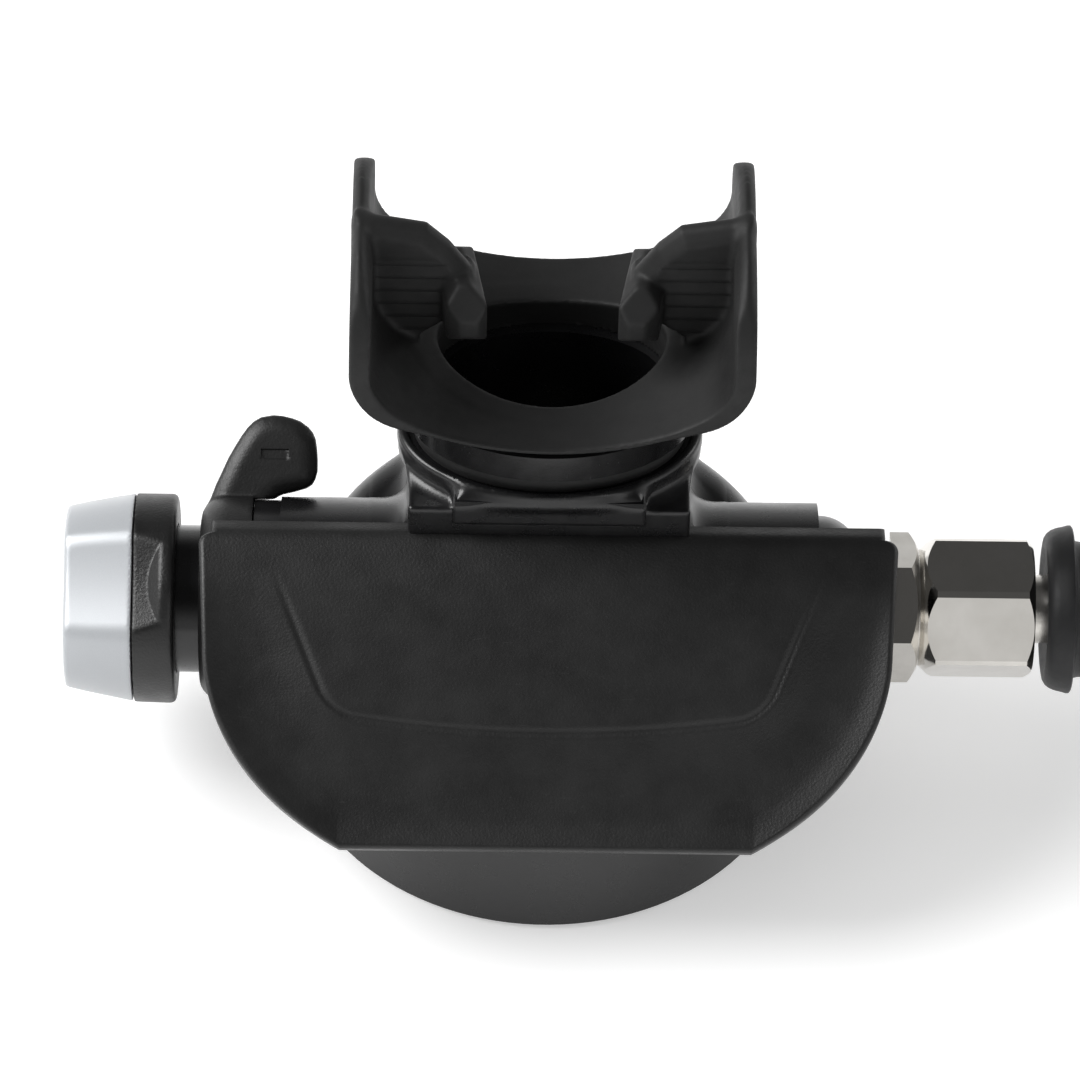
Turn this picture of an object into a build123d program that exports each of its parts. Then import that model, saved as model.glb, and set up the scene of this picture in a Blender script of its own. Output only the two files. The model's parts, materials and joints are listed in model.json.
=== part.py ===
from build123d import *
import math
import os

# Second stage of a scuba regulator with its low-pressure hose, in millimetres.
# The stage stands on its purge cover: Z is up, out of the mouthpiece, X runs along the
# valve line towards the hose, and Y points to the diver's nose. The origin is on the
# case's axis in the plane that the purge cover rests on.

# ---- clearances --------------------------------------------------------------------
fit_gap = 0.05          # between fixed pieces that seat in each other
run_gap = 0.1           # between a shaft and the bore it turns or slides in
soft_gap = 0.3          # between moving or soft pieces that only come near each other

# ---- valve line --------------------------------------------------------------------
axis_z = 27.7           # height of the valve line

tube_r = 6.5            # valve tube, outside
tube_bore_r = 5.2
tube_left_x = -51.0
inlet_thread_r = 7.1    # 9/16-18 UNF male thread at the hose end
inlet_end_x = 57.0
window_x = (-12.5, -3.5)    # opening under the tube where the demand lever's feet go in
window_half_y = 4.7

# ---- case --------------------------------------------------------------------------
case_r = 33.0
case_rim_r = 35.0        # the side tapers out to the lower rim
case_rim_z = 1.0        # the case's lower rim, just above the resting plane
case_side_top_z = 27.5  # where the straight side starts to round over
case_round_r = 6.0
crown_z = 37.0
crown_wall = 2.4
rim_bore_r = 31.0       # bore that takes the purge cover and the diaphragm
ledge_z = 9.0           # ledge that the diaphragm's bead is clamped against
cavity_r = 29.2

barrel_r = 14.1         # housing round the valve line
barrel_left_x = -40.0
barrel_right_x = 36.7
barrel_cavity_r = 11.6
barrel_cavity_half_x = 30.0
barrel_relief_r = 13.6  # relieved end that the lever's foot passes over
barrel_relief_x = -36.4
boss_r = 12.4           # rounded boss at the inlet
boss_end_x = 42.6
boss_round_r = 5.5

neck_y = 9.0            # the neck sits towards the nose side of the case
neck_block_w = 37.8
neck_block_d = 25.0
neck_block_base_z = 33.0
neck_block_top_z = 50.2
neck_rim_w = 41.0
neck_rim_d = 26.4
neck_rim_top_z = 53.0
neck_tube_w = 33.4      # oval spigot that the mouthpiece is pushed over
neck_tube_d = 20.4
neck_tube_wall = 1.6
neck_tube_top_z = 63.0
neck_panel_w = 25.3     # raised panel on the front of the neck
neck_panel_z = (48.0, 52.6)
neck_panel_proud = 0.7

# ---- exhaust -----------------------------------------------------------------------
shoulder_edge_z = 16.5  # height of the sloping exhaust shoulder at the case's front edge
shoulder_tilt = 12.7    # slope of that shoulder, rising towards the barrel
shoulder_wall = 2.2
port_y = -22.3
port_r = 8.6
seat_proud = 0.4
seat_rim = 1.4
seat_hub_r = 2.6
spoke_w = 1.3
spoke_count = 6
flap_r = 9.2            # silicone exhaust valve
flap_thick = 0.9
flap_stem_r = 1.2
flap_bulb_r = 1.9
flap_lift = 1.0

tee_tilt = 32.6         # slope of the deflector's face
tee_top_y = -4.2
tee_top_z = 45.2
tee_half_w = 47.2       # half width along the top edge
tee_side = 15.0         # length of the nearly straight sides
tee_side_taper = 0.8    # how much each side draws in before it starts to curve
tee_curve_h = 33.6      # height of the half oval that the lower outline follows
tee_drop = 42.0         # top edge to bottom edge, along the face
tee_wall = 2.4
tee_depth = 14.0        # face to the back of the duct
tee_lap = 2.0            # how far the duct's back reaches in over the shoulder
tee_lip = 2.4           # how far the face stands out past the duct behind it
tee_floor_lean = 12.0   # lean of the duct's floor from square to the face
tee_dish = 1.8          # hollow in the face above the flared lower edge
tee_crown = 1.0

# ---- mouthpiece --------------------------------------------------------------------
shield_z = 65.7         # underside of the shield at its middle
shield_half_w = 26.65
shield_height = 35.7
shield_depth = 28.4     # how far the ends stand above the middle
shield_wall = 2.2
shield_floor_r = 42.0
shield_corner_r = 12.0
shield_tip_r = 13.0
bore_w = 30.4
bore_d = 18.9
mouth_sleeve_wall = 1.7
clamp_wall = 0.8
clamp_z = 56.4
clamp_h = 4.5
clamp_lock = (7.0, 4.2, 5.4)
tab_thick = 4.3
lug_inner_x = 9.8
lug_w = 5.4
lug_h = 14.0
lug_z = (77.0, 85.4)

# ---- diaphragm and purge -----------------------------------------------------------
cover_h = 6.4
cover_plate = 1.8
cover_side_wall = 2.4
cover_hole_r = 20.2
vent_count = 12
vent_r = (22.4, 27.0)
vent_w = 4.0
web_thick = 1.2
web_arm_w = 3.2
web_hub_r = 9.0
web_hole_r = 4.8
button_r = 19.8
button_z = 0.5          # the button stands back from the resting plane
button_thick = 1.7
button_flange_r = 21.1
button_stem_r = 4.4
purge_travel = 2.0
purge_coil_r = 7.0
purge_wire = 0.7
purge_turns = 2.5
button_flange_h = 0.6
clamp_ring_h = 1.1
clamp_ring_w = 4.6
bead_h = 1.25
diaphragm_thick = 0.7
diaphragm_z = 10.4      # underside of the diaphragm's middle
plate_r = 14.0
plate_thick = 1.0

# ---- demand lever, poppet and orifice ----------------------------------------------
pivot_x = -8.0
pivot_drop = 6.2        # below the valve line
lever_arm_x = 13.0      # pivot to tip
lever_thick = 1.4
lever_foot = 5.0        # pivot to the top of the feet
lever_foot_y = (2.4, 3.9)
lever_knuckle_r = 1.0    # round of each foot that the lever rocks on
lever_tip_w = 7.0
nut_w = 2.6
nut_af = 7.6
poppet_stem_r = 1.8
poppet_stem_left_x = -21.0
small_seal_wire = 0.8       # O-ring on the poppet's stem
poppet_head_x = (4.0, 13.0)
seat_r = 3.9
seat_face_x = 15.9
orifice_bore_r = 2.3
orifice_right_x = 30.0

# ---- adjusting knob ----------------------------------------------------------------
knob_r = 14.3
knob_outer_x = -65.6
knob_joint_x = -56.2    # where the silver cap meets the black ring
knob_inner_x = -50.5
knob_tip_r = 12.4
knob_wall = 2.2
knob_spigot_r = 10.4
facet_count = 3
facet_angle = 130.0     # the first facet, measured from +Y towards +Z
facet_reach = 10.7      # axis to facet at the knob's outer end
pocket_w = 13.4
pocket_depth = 1.3
shaft_r = 4.0
shaft_tip_r = 2.5
end_cap_r = 10.05
end_cap_left_x = -52.6
end_cap_right_x = -40.6
pusher_x = (-32.0, -26.0)
chamber_right_x = -17.0
spring_coil_r = 4.2
spring_wire = 0.9
turn_travel = 2.25      # travel of the spring pad over the knob's range

# ---- air-flow lever ----------------------------------------------------------------
lever_ring_x = (-47.3, -40.2)
lever_angle = 40.0      # direction of the paddle, from +Y towards +Z
paddle_thick = 4.6
paddle_bevel = 1.0
paddle_reach = 25.9         # valve line to the top of the paddle
paddle_w = 15.6             # ring's outer face to the paddle's tip
paddle_foot = (0.3, 9.7)    # both sides of the foot, from the ring's outer face
paddle_foot_gap = 0.1       # between the foot and the barrel
paddle_root = 2.6           # how far the foot runs down into the ring
paddle_back = (1.9, 4.5)    # where the back starts to slope
paddle_head = (6.4, 14.5)   # both corners of the top
paddle_tip = (6.4, 8.9)     # the tip's two corners, below the top
paddle_step = 0.5
paddle_mark = (3.6, 1.3, 0.4)   # length, width and depth of the plus and minus marks
mark_drop = 5.0
sleeve_r = 10.2
sleeve_bore_r = 6.7
sleeve_flange_r = 12.0
vane_r = (8.8, 10.2)
vane_x = (-24.0, -15.0)
vane_span = 80.0

# ---- hose end ----------------------------------------------------------------------
hex_af = 17.8
flange_hex_x = (42.6, 45.3)
groove_r = 8.4
jam_x = (46.8, 50.5)
nut_x = (50.7, 66.3)
hose_nut_af = 17.5
nut_corner_angle = 121.0    # one corner of the hose nut, from +Y towards +Z
stem_r = 4.7
stem_flange_r = 6.6
stem_flange_x = (57.2, 59.2)
stem_bore_r = 2.0
ferrule_r = 7.4
ferrule_x = (68.6, 90.0)
hose_d = 11.0
sleeve_collar_x = (67.9, 71.6)
sleeve_collar_r = 11.25
sleeve_big_r = 9.3
sleeve_small_r = 7.6
sleeve_end_x = 112.0
rib_count = 6

fitting_thread_r = 4.76     # 3/8-24 UNF
fitting_thread_l = 8.0
fitting_hex_af = 14.3
fitting_hex_l = 7.0
far_ferrule_l = 21.0
relief_r = 3.9              # undercut between hexagon and thread, for the O-ring
relief_l = 1.6

# Route of the hose from its crimped end, then the loop it lies in on the ground
hose_floor = 0.1
lie_z = hose_d / 2 + hose_floor
far_z = fitting_hex_af / 2 + hose_floor     # the fitting lies on a flat of its hexagon
hose_points = [
    (ferrule_x[1], 0, axis_z),
    (134, 0, axis_z),
    (166, -10, 9.5),
]
loop_centre = (184, 49)
loop_r = 63.0
loop_pitch = 13.5
loop_steps = 10         # points to one turn
loop_first_angle = -72
loop_count = 10
tail_runs = (23.0, 21.0)


# ---- helpers -----------------------------------------------------------------------
def rod_x(x0, x1, r):
    return Pos((x0 + x1) / 2, 0, axis_z) * Rot(0, 90, 0) * Cylinder(r, x1 - x0)


def tube_x(x0, x1, outer, inner):
    return rod_x(x0, x1, outer) - rod_x(x0, x1, inner)


def rod_z(z0, z1, r):
    return Pos(0, 0, (z0 + z1) / 2) * Cylinder(r, z1 - z0)


def tube_z(z0, z1, outer, inner):
    return rod_z(z0, z1, outer) - rod_z(z0, z1, inner)


def block(x0, x1, y0, y1, z0, z1):
    return Pos((x0 + x1) / 2, (y0 + y1) / 2, (z0 + z1) / 2) * Box(x1 - x0, y1 - y0, z1 - z0)


def turned_x(points):
    """Solid turned about the valve line from (x, radius) corners."""
    outline = Polyline(*[(x, 0, axis_z + r) for x, r in points], close=True)
    return revolve(make_face(outline), Axis((0, 0, axis_z), (1, 0, 0)))


def turned_z(points):
    """Solid turned about the case's axis from (radius, z) corners."""
    outline = Polyline(*[(r, 0, z) for r, z in points], close=True)
    return revolve(make_face(outline), Axis.Z)


def about_valve(angle, shape):
    """Turn a shape made on the +Y side of the valve line round it, from +Y towards +Z."""
    return Pos(0, 0, axis_z) * Rot(angle, 0, 0) * Pos(0, 0, -axis_z) * shape


def oval(width, depth, z0, z1):
    """Oval prism on the neck's axis."""
    base = Plane((0, neck_y, z0)) * Ellipse(width / 2, depth / 2)
    return extrude(base, amount=z1 - z0)


def hexagon_x(x0, x1, across_flats, corner_angle):
    outline = RegularPolygon(across_flats / 2, 6, major_radius=False)
    prism = Pos(x0, 0, axis_z) * Rot(0, 90, 0) * extrude(outline, amount=x1 - x0)
    first_corner = max(prism.vertices(), key=lambda v: v.Y)
    start = math.degrees(math.atan2(first_corner.Z - axis_z, first_corner.Y))
    return about_valve(corner_angle - start, prism)


def hexagon_nut(x0, x1, across_flats, corner_angle, bevel_ends):
    """Hexagon whose corners are turned off at 30 degrees at the chosen ends."""
    prism = hexagon_x(x0, x1, across_flats, corner_angle)
    flat_r = across_flats / 2
    corner_r = flat_r / math.cos(math.radians(30)) + 0.1
    bevel = (corner_r - flat_r) * math.tan(math.radians(30)) + 0.35
    left = bevel if "left" in bevel_ends else 0
    right = bevel if "right" in bevel_ends else 0
    points = [(x0, 0), (x0, corner_r if not left else flat_r - 0.35), (x0 + left, corner_r)]
    points += [(x1 - right, corner_r), (x1, corner_r if not right else flat_r - 0.35), (x1, 0)]
    kept = [p for i, p in enumerate(points) if i == 0 or p != points[i - 1]]
    return prism & turned_x(kept)


def ring_seal(x, centre_r, wire_r):
    return Pos(x, 0, axis_z) * Rot(0, 90, 0) * Torus(centre_r, wire_r)


def coil_spring(length, coil_r, wire, turns):
    """Round-wire coil along +Z, from wire / 2 above zero to wire / 2 below its length."""
    run = length - wire
    path = Pos(0, 0, wire / 2) * Helix(run / turns, run, coil_r)
    start = path @ 0
    section = Plane(origin=start, z_dir=path % 0) * Circle(wire / 2)
    return sweep(section, path=path)


# ---- case --------------------------------------------------------------------------
shoulder_slope = math.tan(math.radians(shoulder_tilt))
port_z = shoulder_edge_z + (port_y + case_r) * shoulder_slope
port_plane = Plane(
    origin=(0, port_y, port_z),
    x_dir=(1, 0, 0),
    z_dir=(0, -math.sin(math.radians(shoulder_tilt)), math.cos(math.radians(shoulder_tilt))),
)


def crown(rim_r, outer_r, side_top_z, round_r, top_z, base_z):
    """Round cup, rim_r wide at its rim and outer_r at its shoulder, closed by a rounded crown."""
    inner = outer_r - round_r
    with BuildSketch(Plane.XZ) as outline:
        with BuildLine():
            Line((0, base_z), (rim_r, base_z))
            Line((rim_r, base_z), (outer_r, side_top_z))
            RadiusArc((outer_r, side_top_z), (inner, side_top_z + round_r), -round_r)
            Line((inner, side_top_z + round_r), (0, top_z))
            Line((0, top_z), (0, base_z))
        make_face()
    return revolve(outline.sketch, Axis.Z)


def above_shoulder(drop):
    """Everything in front of the valve line above the exhaust shoulder, lowered by drop."""
    reach = case_r + 10
    back = port_y + 5.0
    size_y = reach + back + case_r
    return port_plane * Pos(0, size_y / 2 - reach, 20 - drop) * Box(3 * case_r, size_y, 40)


def within_side(grow):
    """Tapered side of the case, grown by a gap or shrunk by a wall, and carried straight up."""
    return turned_z([
        (0, case_rim_z),
        (case_rim_r + grow, case_rim_z),
        (case_r + grow, case_side_top_z),
        (case_r + grow, crown_z + soft_gap),
        (0, crown_z + soft_gap),
    ])


def case_body():
    body = crown(case_rim_r, case_r, case_side_top_z, case_round_r, crown_z, case_rim_z)
    front = above_shoulder(0) & block(-2 * case_r, 2 * case_r, -2 * case_r, -5, 0, 60)
    body -= front
    body += rod_x(barrel_relief_x, barrel_right_x, barrel_r)
    body += rod_x(barrel_left_x, barrel_relief_x, barrel_relief_r)
    boss = rod_x(barrel_right_x - 1, boss_end_x, boss_r)
    body += fillet(boss.edges().group_by(Axis.X)[-1], boss_round_r)
    half_w = neck_block_w / 2
    half_d = neck_block_d / 2
    neck = block(
        -half_w, half_w, neck_y - half_d, neck_y + half_d, neck_block_base_z, neck_block_top_z
    )
    neck = fillet(neck.edges().filter_by(Axis.Z), 4.0)
    rim = oval(neck_rim_w, neck_rim_d, neck_block_top_z - 0.5, neck_rim_top_z)
    neck += fillet(rim.edges().group_by(Axis.Z)[-1], 1.0)
    front_y = neck_y - half_d
    neck += block(
        -neck_panel_w / 2,
        neck_panel_w / 2,
        front_y - neck_panel_proud,
        front_y + 3,
        *neck_panel_z,
    )
    body += neck
    body += oval(neck_tube_w, neck_tube_d, neck_rim_top_z - 1, neck_tube_top_z)

    inner_round = case_round_r - crown_wall
    cavity = crown(
        cavity_r, cavity_r, case_side_top_z, inner_round, crown_z - crown_wall, ledge_z - 1
    )
    inner_front = above_shoulder(shoulder_wall)
    cavity -= inner_front & block(-2 * case_r, 2 * case_r, -2 * case_r, -5, 0, 60)
    body -= cavity
    body -= rod_z(case_rim_z - 1, ledge_z, rim_bore_r)
    body -= rod_x(-barrel_cavity_half_x, barrel_cavity_half_x, barrel_cavity_r)
    body -= rod_x(barrel_cavity_half_x - 1, boss_end_x + 1, tube_r + fit_gap)
    body -= rod_x(barrel_left_x - 1, -barrel_cavity_half_x + 1, sleeve_r + run_gap)
    body -= rod_x(barrel_left_x - 1, barrel_left_x + 1.6, sleeve_flange_r + soft_gap)
    passage_w = neck_tube_w - 2 * neck_tube_wall
    passage_d = neck_tube_d - 2 * neck_tube_wall
    body -= oval(passage_w, passage_d, axis_z, neck_tube_top_z + 1)
    body -= port_plane * Pos(0, 0, -shoulder_wall) * Cylinder(port_r, 4 * shoulder_wall)
    return body


def exhaust_seat():
    """Spider that the exhaust valve seals on and is pulled through."""
    bottom = -shoulder_wall
    height = shoulder_wall + seat_proud
    at = Pos(0, 0, bottom + height / 2)
    seat_r_out = port_r - fit_gap
    seat = at * (Cylinder(seat_r_out, height) - Cylinder(seat_r_out - seat_rim, height))
    seat += at * Cylinder(seat_hub_r, height)
    spoke_h = height - 0.6
    for i in range(spoke_count):
        turn = Rot(0, 0, 360 / spoke_count * i)
        reach = seat_r_out - seat_rim / 2
        spoke = turn * Pos(reach / 2, 0, bottom + spoke_h / 2) * Box(reach, spoke_w, spoke_h)
        seat += spoke
    seat -= at * Cylinder(flap_stem_r + run_gap, 2 * height)
    return port_plane * seat


def exhaust_valve():
    """Mushroom valve: a thin disc on a stem whose bulb holds it in the spider."""
    base = seat_proud + fit_gap
    hub_under = -shoulder_wall
    bulb_top = hub_under - flap_lift - run_gap
    disc = Pos(0, 0, base + flap_thick / 2) * Cylinder(flap_r, flap_thick)
    stem_h = base - bulb_top + 0.4
    stem = Pos(0, 0, base + 0.2 - stem_h / 2) * Cylinder(flap_stem_r, stem_h)
    bulb = Pos(0, 0, bulb_top - 0.6) * Cylinder(flap_bulb_r, 1.2)
    return port_plane * (disc + stem + bulb)


# ---- exhaust deflector ---------------------------------------------------------------
tee_slope = math.radians(tee_tilt)
tee_plane = Plane(
    origin=(0, tee_top_y, tee_top_z),
    x_dir=(1, 0, 0),
    z_dir=(0, -math.sin(tee_slope), math.cos(tee_slope)),
)


def tee_outline(grow, low, high):
    """Prism with the deflector's outline between two heights above its chord plane."""
    half = tee_half_w + grow
    side_half = half - tee_side_taper
    sides = [(-half, grow), (half, grow), (side_half, -tee_side), (-side_half, -tee_side)]
    upper = make_face(Polyline(*sides, close=True))
    drop = tee_drop + grow - tee_side
    belly = Pos(0, -tee_side) * Ellipse(side_half, tee_curve_h + grow)
    lower = belly & Pos(0, -tee_side - drop / 2) * Rectangle(4 * half, drop)
    prism = extrude(upper + lower, amount=high - low, dir=(0, 0, 1))
    return tee_plane * Pos(0, 0, low) * prism


def tee_face(low, high):
    """Bent slab that follows the deflector's face, between two offsets from it."""
    top = [(2.5, -2.2), (-1.2, 0.4), (-9.0, tee_crown), (-22.0, 0.0)]
    bottom = [(-31.0, -tee_dish), (-38.0, -tee_dish * 0.6), (-tee_drop - 2.0, tee_crown)]
    upper = [(y, z + high) for y, z in top + bottom]
    lower = [(y, z + low) for y, z in reversed(top + bottom)]
    width = 2 * tee_half_w + 10
    with BuildSketch(Plane.YZ) as profile:
        with BuildLine():
            Spline(*upper)
            Line(upper[-1], lower[0])
            Spline(*lower)
            Line(lower[-1], upper[0])
        make_face()
    slab = extrude(profile.sketch, amount=width / 2, both=True)
    return tee_plane * slab


def above_floor(raise_by):
    """Everything above the duct's floor, which leans from the face's lower edge to the case."""
    lean = Pos(0, -tee_drop + raise_by, 0) * Rot(tee_floor_lean, 0, 0)
    return tee_plane * lean * Pos(0, 50, 0) * Box(4 * tee_half_w, 100, 100)


def exhaust_tee():
    """Wide deflector that leads exhaled air out to the left and right of the chin."""
    skin = tee_face(-tee_wall, 0) & tee_outline(0, -8, 6)
    shell = tee_outline(-tee_lip, -tee_depth, 6) & tee_face(-tee_depth - 4, -tee_wall / 2)
    shell &= above_floor(0)
    wide = 2 * tee_half_w
    duct = tee_plane * block(-wide, wide, -tee_drop, -tee_wall, -tee_depth + tee_wall, 30)
    duct = duct & tee_face(-tee_depth - 4, -tee_wall) & above_floor(tee_wall)
    tee = skin + (shell - duct)
    tee -= rod_x(-wide, wide, barrel_r + soft_gap)
    over_shoulder = above_shoulder(-soft_gap - tee_wall)
    inner = within_side(-tee_lap) & over_shoulder
    keep_out = within_side(soft_gap)
    keep_out -= above_shoulder(-soft_gap) & block(-99, 99, -99, -5, 0, 99)
    tee -= keep_out
    low_air = within_side(-tee_wall) & block(-99, 99, -99, -5, 0, 99)
    tee -= low_air - inner
    neck_front = neck_y - neck_block_d / 2 - neck_panel_proud - soft_gap
    half = neck_block_w / 2 + soft_gap
    tee -= block(-half, half, neck_front, 60, crown_z - 5, neck_rim_top_z)
    tee -= port_plane * Pos(0, 0, 3.3) * Cylinder(flap_r + 0.8, 7.4)
    return max(tee.solids(), key=lambda piece: piece.volume)


# ---- mouthpiece ----------------------------------------------------------------------
def shield_outline(inset):
    """Cross-section of the shield: a shallow floor, round corners and upright ends."""
    floor_r = shield_floor_r - inset
    corner_r = shield_corner_r - inset
    half = shield_half_w - inset
    corner_x = half - corner_r
    reach = floor_r - corner_r
    corner_z = shield_z + shield_floor_r - math.sqrt(reach**2 - corner_x**2)
    centre_z = shield_z + shield_floor_r
    join_x = corner_x * floor_r / reach
    join_z = centre_z - (centre_z - corner_z) * floor_r / reach
    bend = math.radians(30)
    mid = (corner_x + corner_r * math.cos(bend), corner_z - corner_r * math.sin(bend))
    top = shield_z + shield_depth + (5 if inset else 0)
    with BuildSketch(Plane.XZ) as outline:
        with BuildLine():
            ThreePointArc((-join_x, join_z), (0, shield_z + inset), (join_x, join_z))
            ThreePointArc((join_x, join_z), mid, (half, corner_z))
            Line((half, corner_z), (half, top))
            Line((half, top), (-half, top))
            Line((-half, top), (-half, corner_z))
            ThreePointArc((-half, corner_z), (-mid[0], mid[1]), (-join_x, join_z))
        make_face()
    return outline.sketch


def bite_tab(side):
    """Bite plate between the teeth with the lug that sits behind them."""
    inner = lug_inner_x
    wall_x = shield_half_w - shield_wall / 2
    low = shield_z + shield_wall
    high = shield_z + shield_depth
    points = [
        (wall_x, low + 6.0),
        (inner + 9.0, low + 4.0),
        (inner + 3.0, lug_z[0] + 1.5),
        (inner, lug_z[1] - 2.5),
        (inner, lug_z[1]),
        (inner + 4.5, high - 4.8),
        (inner + 8.0, high - 2.4),
        (wall_x, high - 2.0),
    ]
    outline = Polyline(*[(side * x, neck_y - tab_thick / 2, z) for x, z in points], close=True)
    plate = extrude(make_face(outline), amount=tab_thick, dir=(0, 1, 0))
    x0 = side * inner
    x1 = side * (inner + lug_w)
    half = lug_h / 2
    lug = block(min(x0, x1), max(x0, x1), neck_y - half, neck_y + half, lug_z[0], lug_z[1])
    lug = chamfer(lug.edges().filter_by(Axis.X), 2.6)
    return plate + lug


def mouthpiece():
    half = shield_height / 2
    solid = extrude(shield_outline(0), amount=half, both=True)
    solid = Pos(0, neck_y, 0) * solid
    top_z = shield_z + shield_depth
    tips = [
        e for e in solid.edges().filter_by(Axis.X)
        if e.center().Z > top_z - 0.1 and abs(e.center().Y - neck_y) > half - 0.1
    ]
    solid = fillet(tips, shield_tip_r)
    hollow = Pos(0, neck_y, 0) * extrude(shield_outline(shield_wall), amount=half + 5, both=True)
    sleeve_w = neck_tube_w + 2 * mouth_sleeve_wall + 2 * fit_gap
    sleeve_d = neck_tube_d + 2 * mouth_sleeve_wall + 2 * fit_gap
    sleeve = oval(sleeve_w, sleeve_d, neck_rim_top_z + fit_gap, shield_z + shield_wall + 5)
    piece = solid + sleeve - hollow
    for side in (-1, 1):
        piece += bite_tab(side)
    socket_w = neck_tube_w + 2 * fit_gap
    socket_d = neck_tube_d + 2 * fit_gap
    piece -= oval(socket_w, socket_d, neck_rim_top_z, neck_tube_top_z + fit_gap)
    piece -= oval(bore_w, bore_d, neck_tube_top_z, shield_z + shield_wall + 6)
    return piece


def mouthpiece_clamp():
    """Cable tie round the mouthpiece's sleeve, with its lock head at the nose side."""
    inner_w = neck_tube_w + 2 * mouth_sleeve_wall + 4 * fit_gap
    inner_d = neck_tube_d + 2 * mouth_sleeve_wall + 4 * fit_gap
    top = clamp_z + clamp_h
    band = oval(inner_w + 2 * clamp_wall, inner_d + 2 * clamp_wall, clamp_z, top)
    back = neck_y + inner_d / 2
    lock_w, lock_d, lock_h = clamp_lock
    mid_z = clamp_z + clamp_h / 2
    head = block(
        -lock_w / 2, lock_w / 2, back - 1, back + lock_d, mid_z - lock_h / 2, mid_z + lock_h / 2
    )
    return band + head - oval(inner_w, inner_d, clamp_z - 2, top + 2)


# ---- diaphragm and purge -------------------------------------------------------------
clamp_ring_z = cover_h + fit_gap
bead_z = clamp_ring_z + clamp_ring_h + fit_gap
seat_outer_r = rim_bore_r - 0.2


def purge_cover():
    """Screwed-in front cover: a vented ring, and the bridge that guides the button."""
    cover = tube_z(0, cover_h, seat_outer_r, seat_outer_r - cover_side_wall)
    plate = tube_z(0, cover_plate, seat_outer_r, cover_hole_r)
    cover += plate
    cover = chamfer(cover.edges().group_by(Axis.Z)[0].sort_by(SortBy.LENGTH)[-1], 1.0)
    vent_mid = (vent_r[0] + vent_r[1]) / 2
    for i in range(vent_count):
        slot = Pos(vent_mid, 0, cover_plate / 2) * Box(vent_r[1] - vent_r[0], vent_w, 6)
        cover -= Rot(0, 0, 360 / vent_count * (i + 0.5)) * slot
    hub_z = cover_h - web_thick
    web = tube_z(hub_z, cover_h, web_hub_r, web_hole_r)
    reach = seat_outer_r - cover_side_wall / 2
    for i in range(4):
        arm_l = reach - web_hub_r + 1
        arm = Pos(web_hub_r - 1 + arm_l / 2, 0, hub_z + web_thick / 2)
        web += Rot(0, 0, 90 * i + 45) * arm * Box(arm_l, web_arm_w, web_thick)
    return cover + web


def purge_button():
    top = button_z + button_thick
    button = rod_z(button_z, top, button_r)
    button = fillet(button.edges().group_by(Axis.Z)[0], 0.6)
    flange_z = cover_plate + 2 * run_gap
    button += tube_z(flange_z, flange_z + button_flange_h, button_flange_r, button_r - 2)
    button += tube_z(top - 0.5, flange_z + button_flange_h, button_r, button_r - 2)
    stem_top = diaphragm_z - soft_gap
    return button + rod_z(top - 0.5, stem_top, button_stem_r)


def purge_spring():
    base = button_z + button_thick + fit_gap
    length = cover_h - web_thick - fit_gap - base
    return Pos(0, 0, base) * coil_spring(length, purge_coil_r, purge_wire, purge_turns)


def diaphragm_clamp_ring():
    inner = seat_outer_r - clamp_ring_w
    return tube_z(clamp_ring_z, clamp_ring_z + clamp_ring_h, seat_outer_r, inner)


def diaphragm():
    """Silicone diaphragm: a bead, one rolled fold and a raised middle."""
    t = diaphragm_thick
    bead_inner = seat_outer_r - 2.8
    bead_top = ledge_z - fit_gap
    fold = bead_z + 0.15
    fold_r = seat_outer_r - clamp_ring_w - soft_gap
    points = [
        (0, diaphragm_z),
        (plate_r + 1, diaphragm_z),
        (plate_r + 5, diaphragm_z - 1.6),
        (fold_r - 2.5, fold - 0.7),
        (fold_r, fold),
        (bead_inner, fold),
        (bead_inner, bead_z),
        (seat_outer_r, bead_z),
        (seat_outer_r, bead_top),
        (bead_inner, bead_top),
        (bead_inner, fold + t),
        (fold_r, fold + t),
        (fold_r - 2.5, fold - 0.7 + t),
        (plate_r + 5.2, diaphragm_z - 1.6 + t),
        (plate_r + 1, diaphragm_z + t),
        (0, diaphragm_z + t),
    ]
    return turned_z(points)


def diaphragm_plate():
    """Hard plate on the diaphragm that the demand lever rides on."""
    base = diaphragm_z + diaphragm_thick + fit_gap
    plate = rod_z(base, base + plate_thick, plate_r)
    rim = tube_z(base, base + plate_thick + 0.5, plate_r, plate_r - 1.2)
    return plate + rim


# ---- valve -----------------------------------------------------------------------------
pivot_z = axis_z - pivot_drop
plate_top_z = diaphragm_z + diaphragm_thick + fit_gap + plate_thick
tip_drop = pivot_z - plate_top_z - 0.5 - lever_thick / 2
foot_left_x = pivot_x - lever_thick / 2
nut_right_x = foot_left_x - soft_gap
nut_left_x = nut_right_x - nut_w
poppet_groove_x = poppet_stem_left_x + 0.8
poppet_seal_inner = poppet_stem_r + run_gap - fit_gap - small_seal_wire


def valve_tube():
    """Metal tube that carries the whole valve, with the inlet hexagon and thread."""
    body = turned_x([
        (tube_left_x, 0),
        (tube_left_x, tube_r),
        (flange_hex_x[0], tube_r),
        (flange_hex_x[0], groove_r),
        (jam_x[0] - 0.1, groove_r),
        (jam_x[0] - 0.1, inlet_thread_r),
        (inlet_end_x, inlet_thread_r),
        (inlet_end_x, 0),
    ])
    body += hexagon_nut(flange_hex_x[0], flange_hex_x[1], hex_af, facet_angle - 30, ("left",))
    body -= rod_x(tube_left_x - 1, inlet_end_x + 1, tube_bore_r)
    low = axis_z - tube_r - 1
    body -= block(window_x[0], window_x[1], -window_half_y, window_half_y, low, axis_z - 2)
    for x in (-1.0, 9.0):
        body -= Pos(x + 1.0, 0, axis_z + tube_r) * Cylinder(1.6, 2 * tube_r - 2)
    return body


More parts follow.
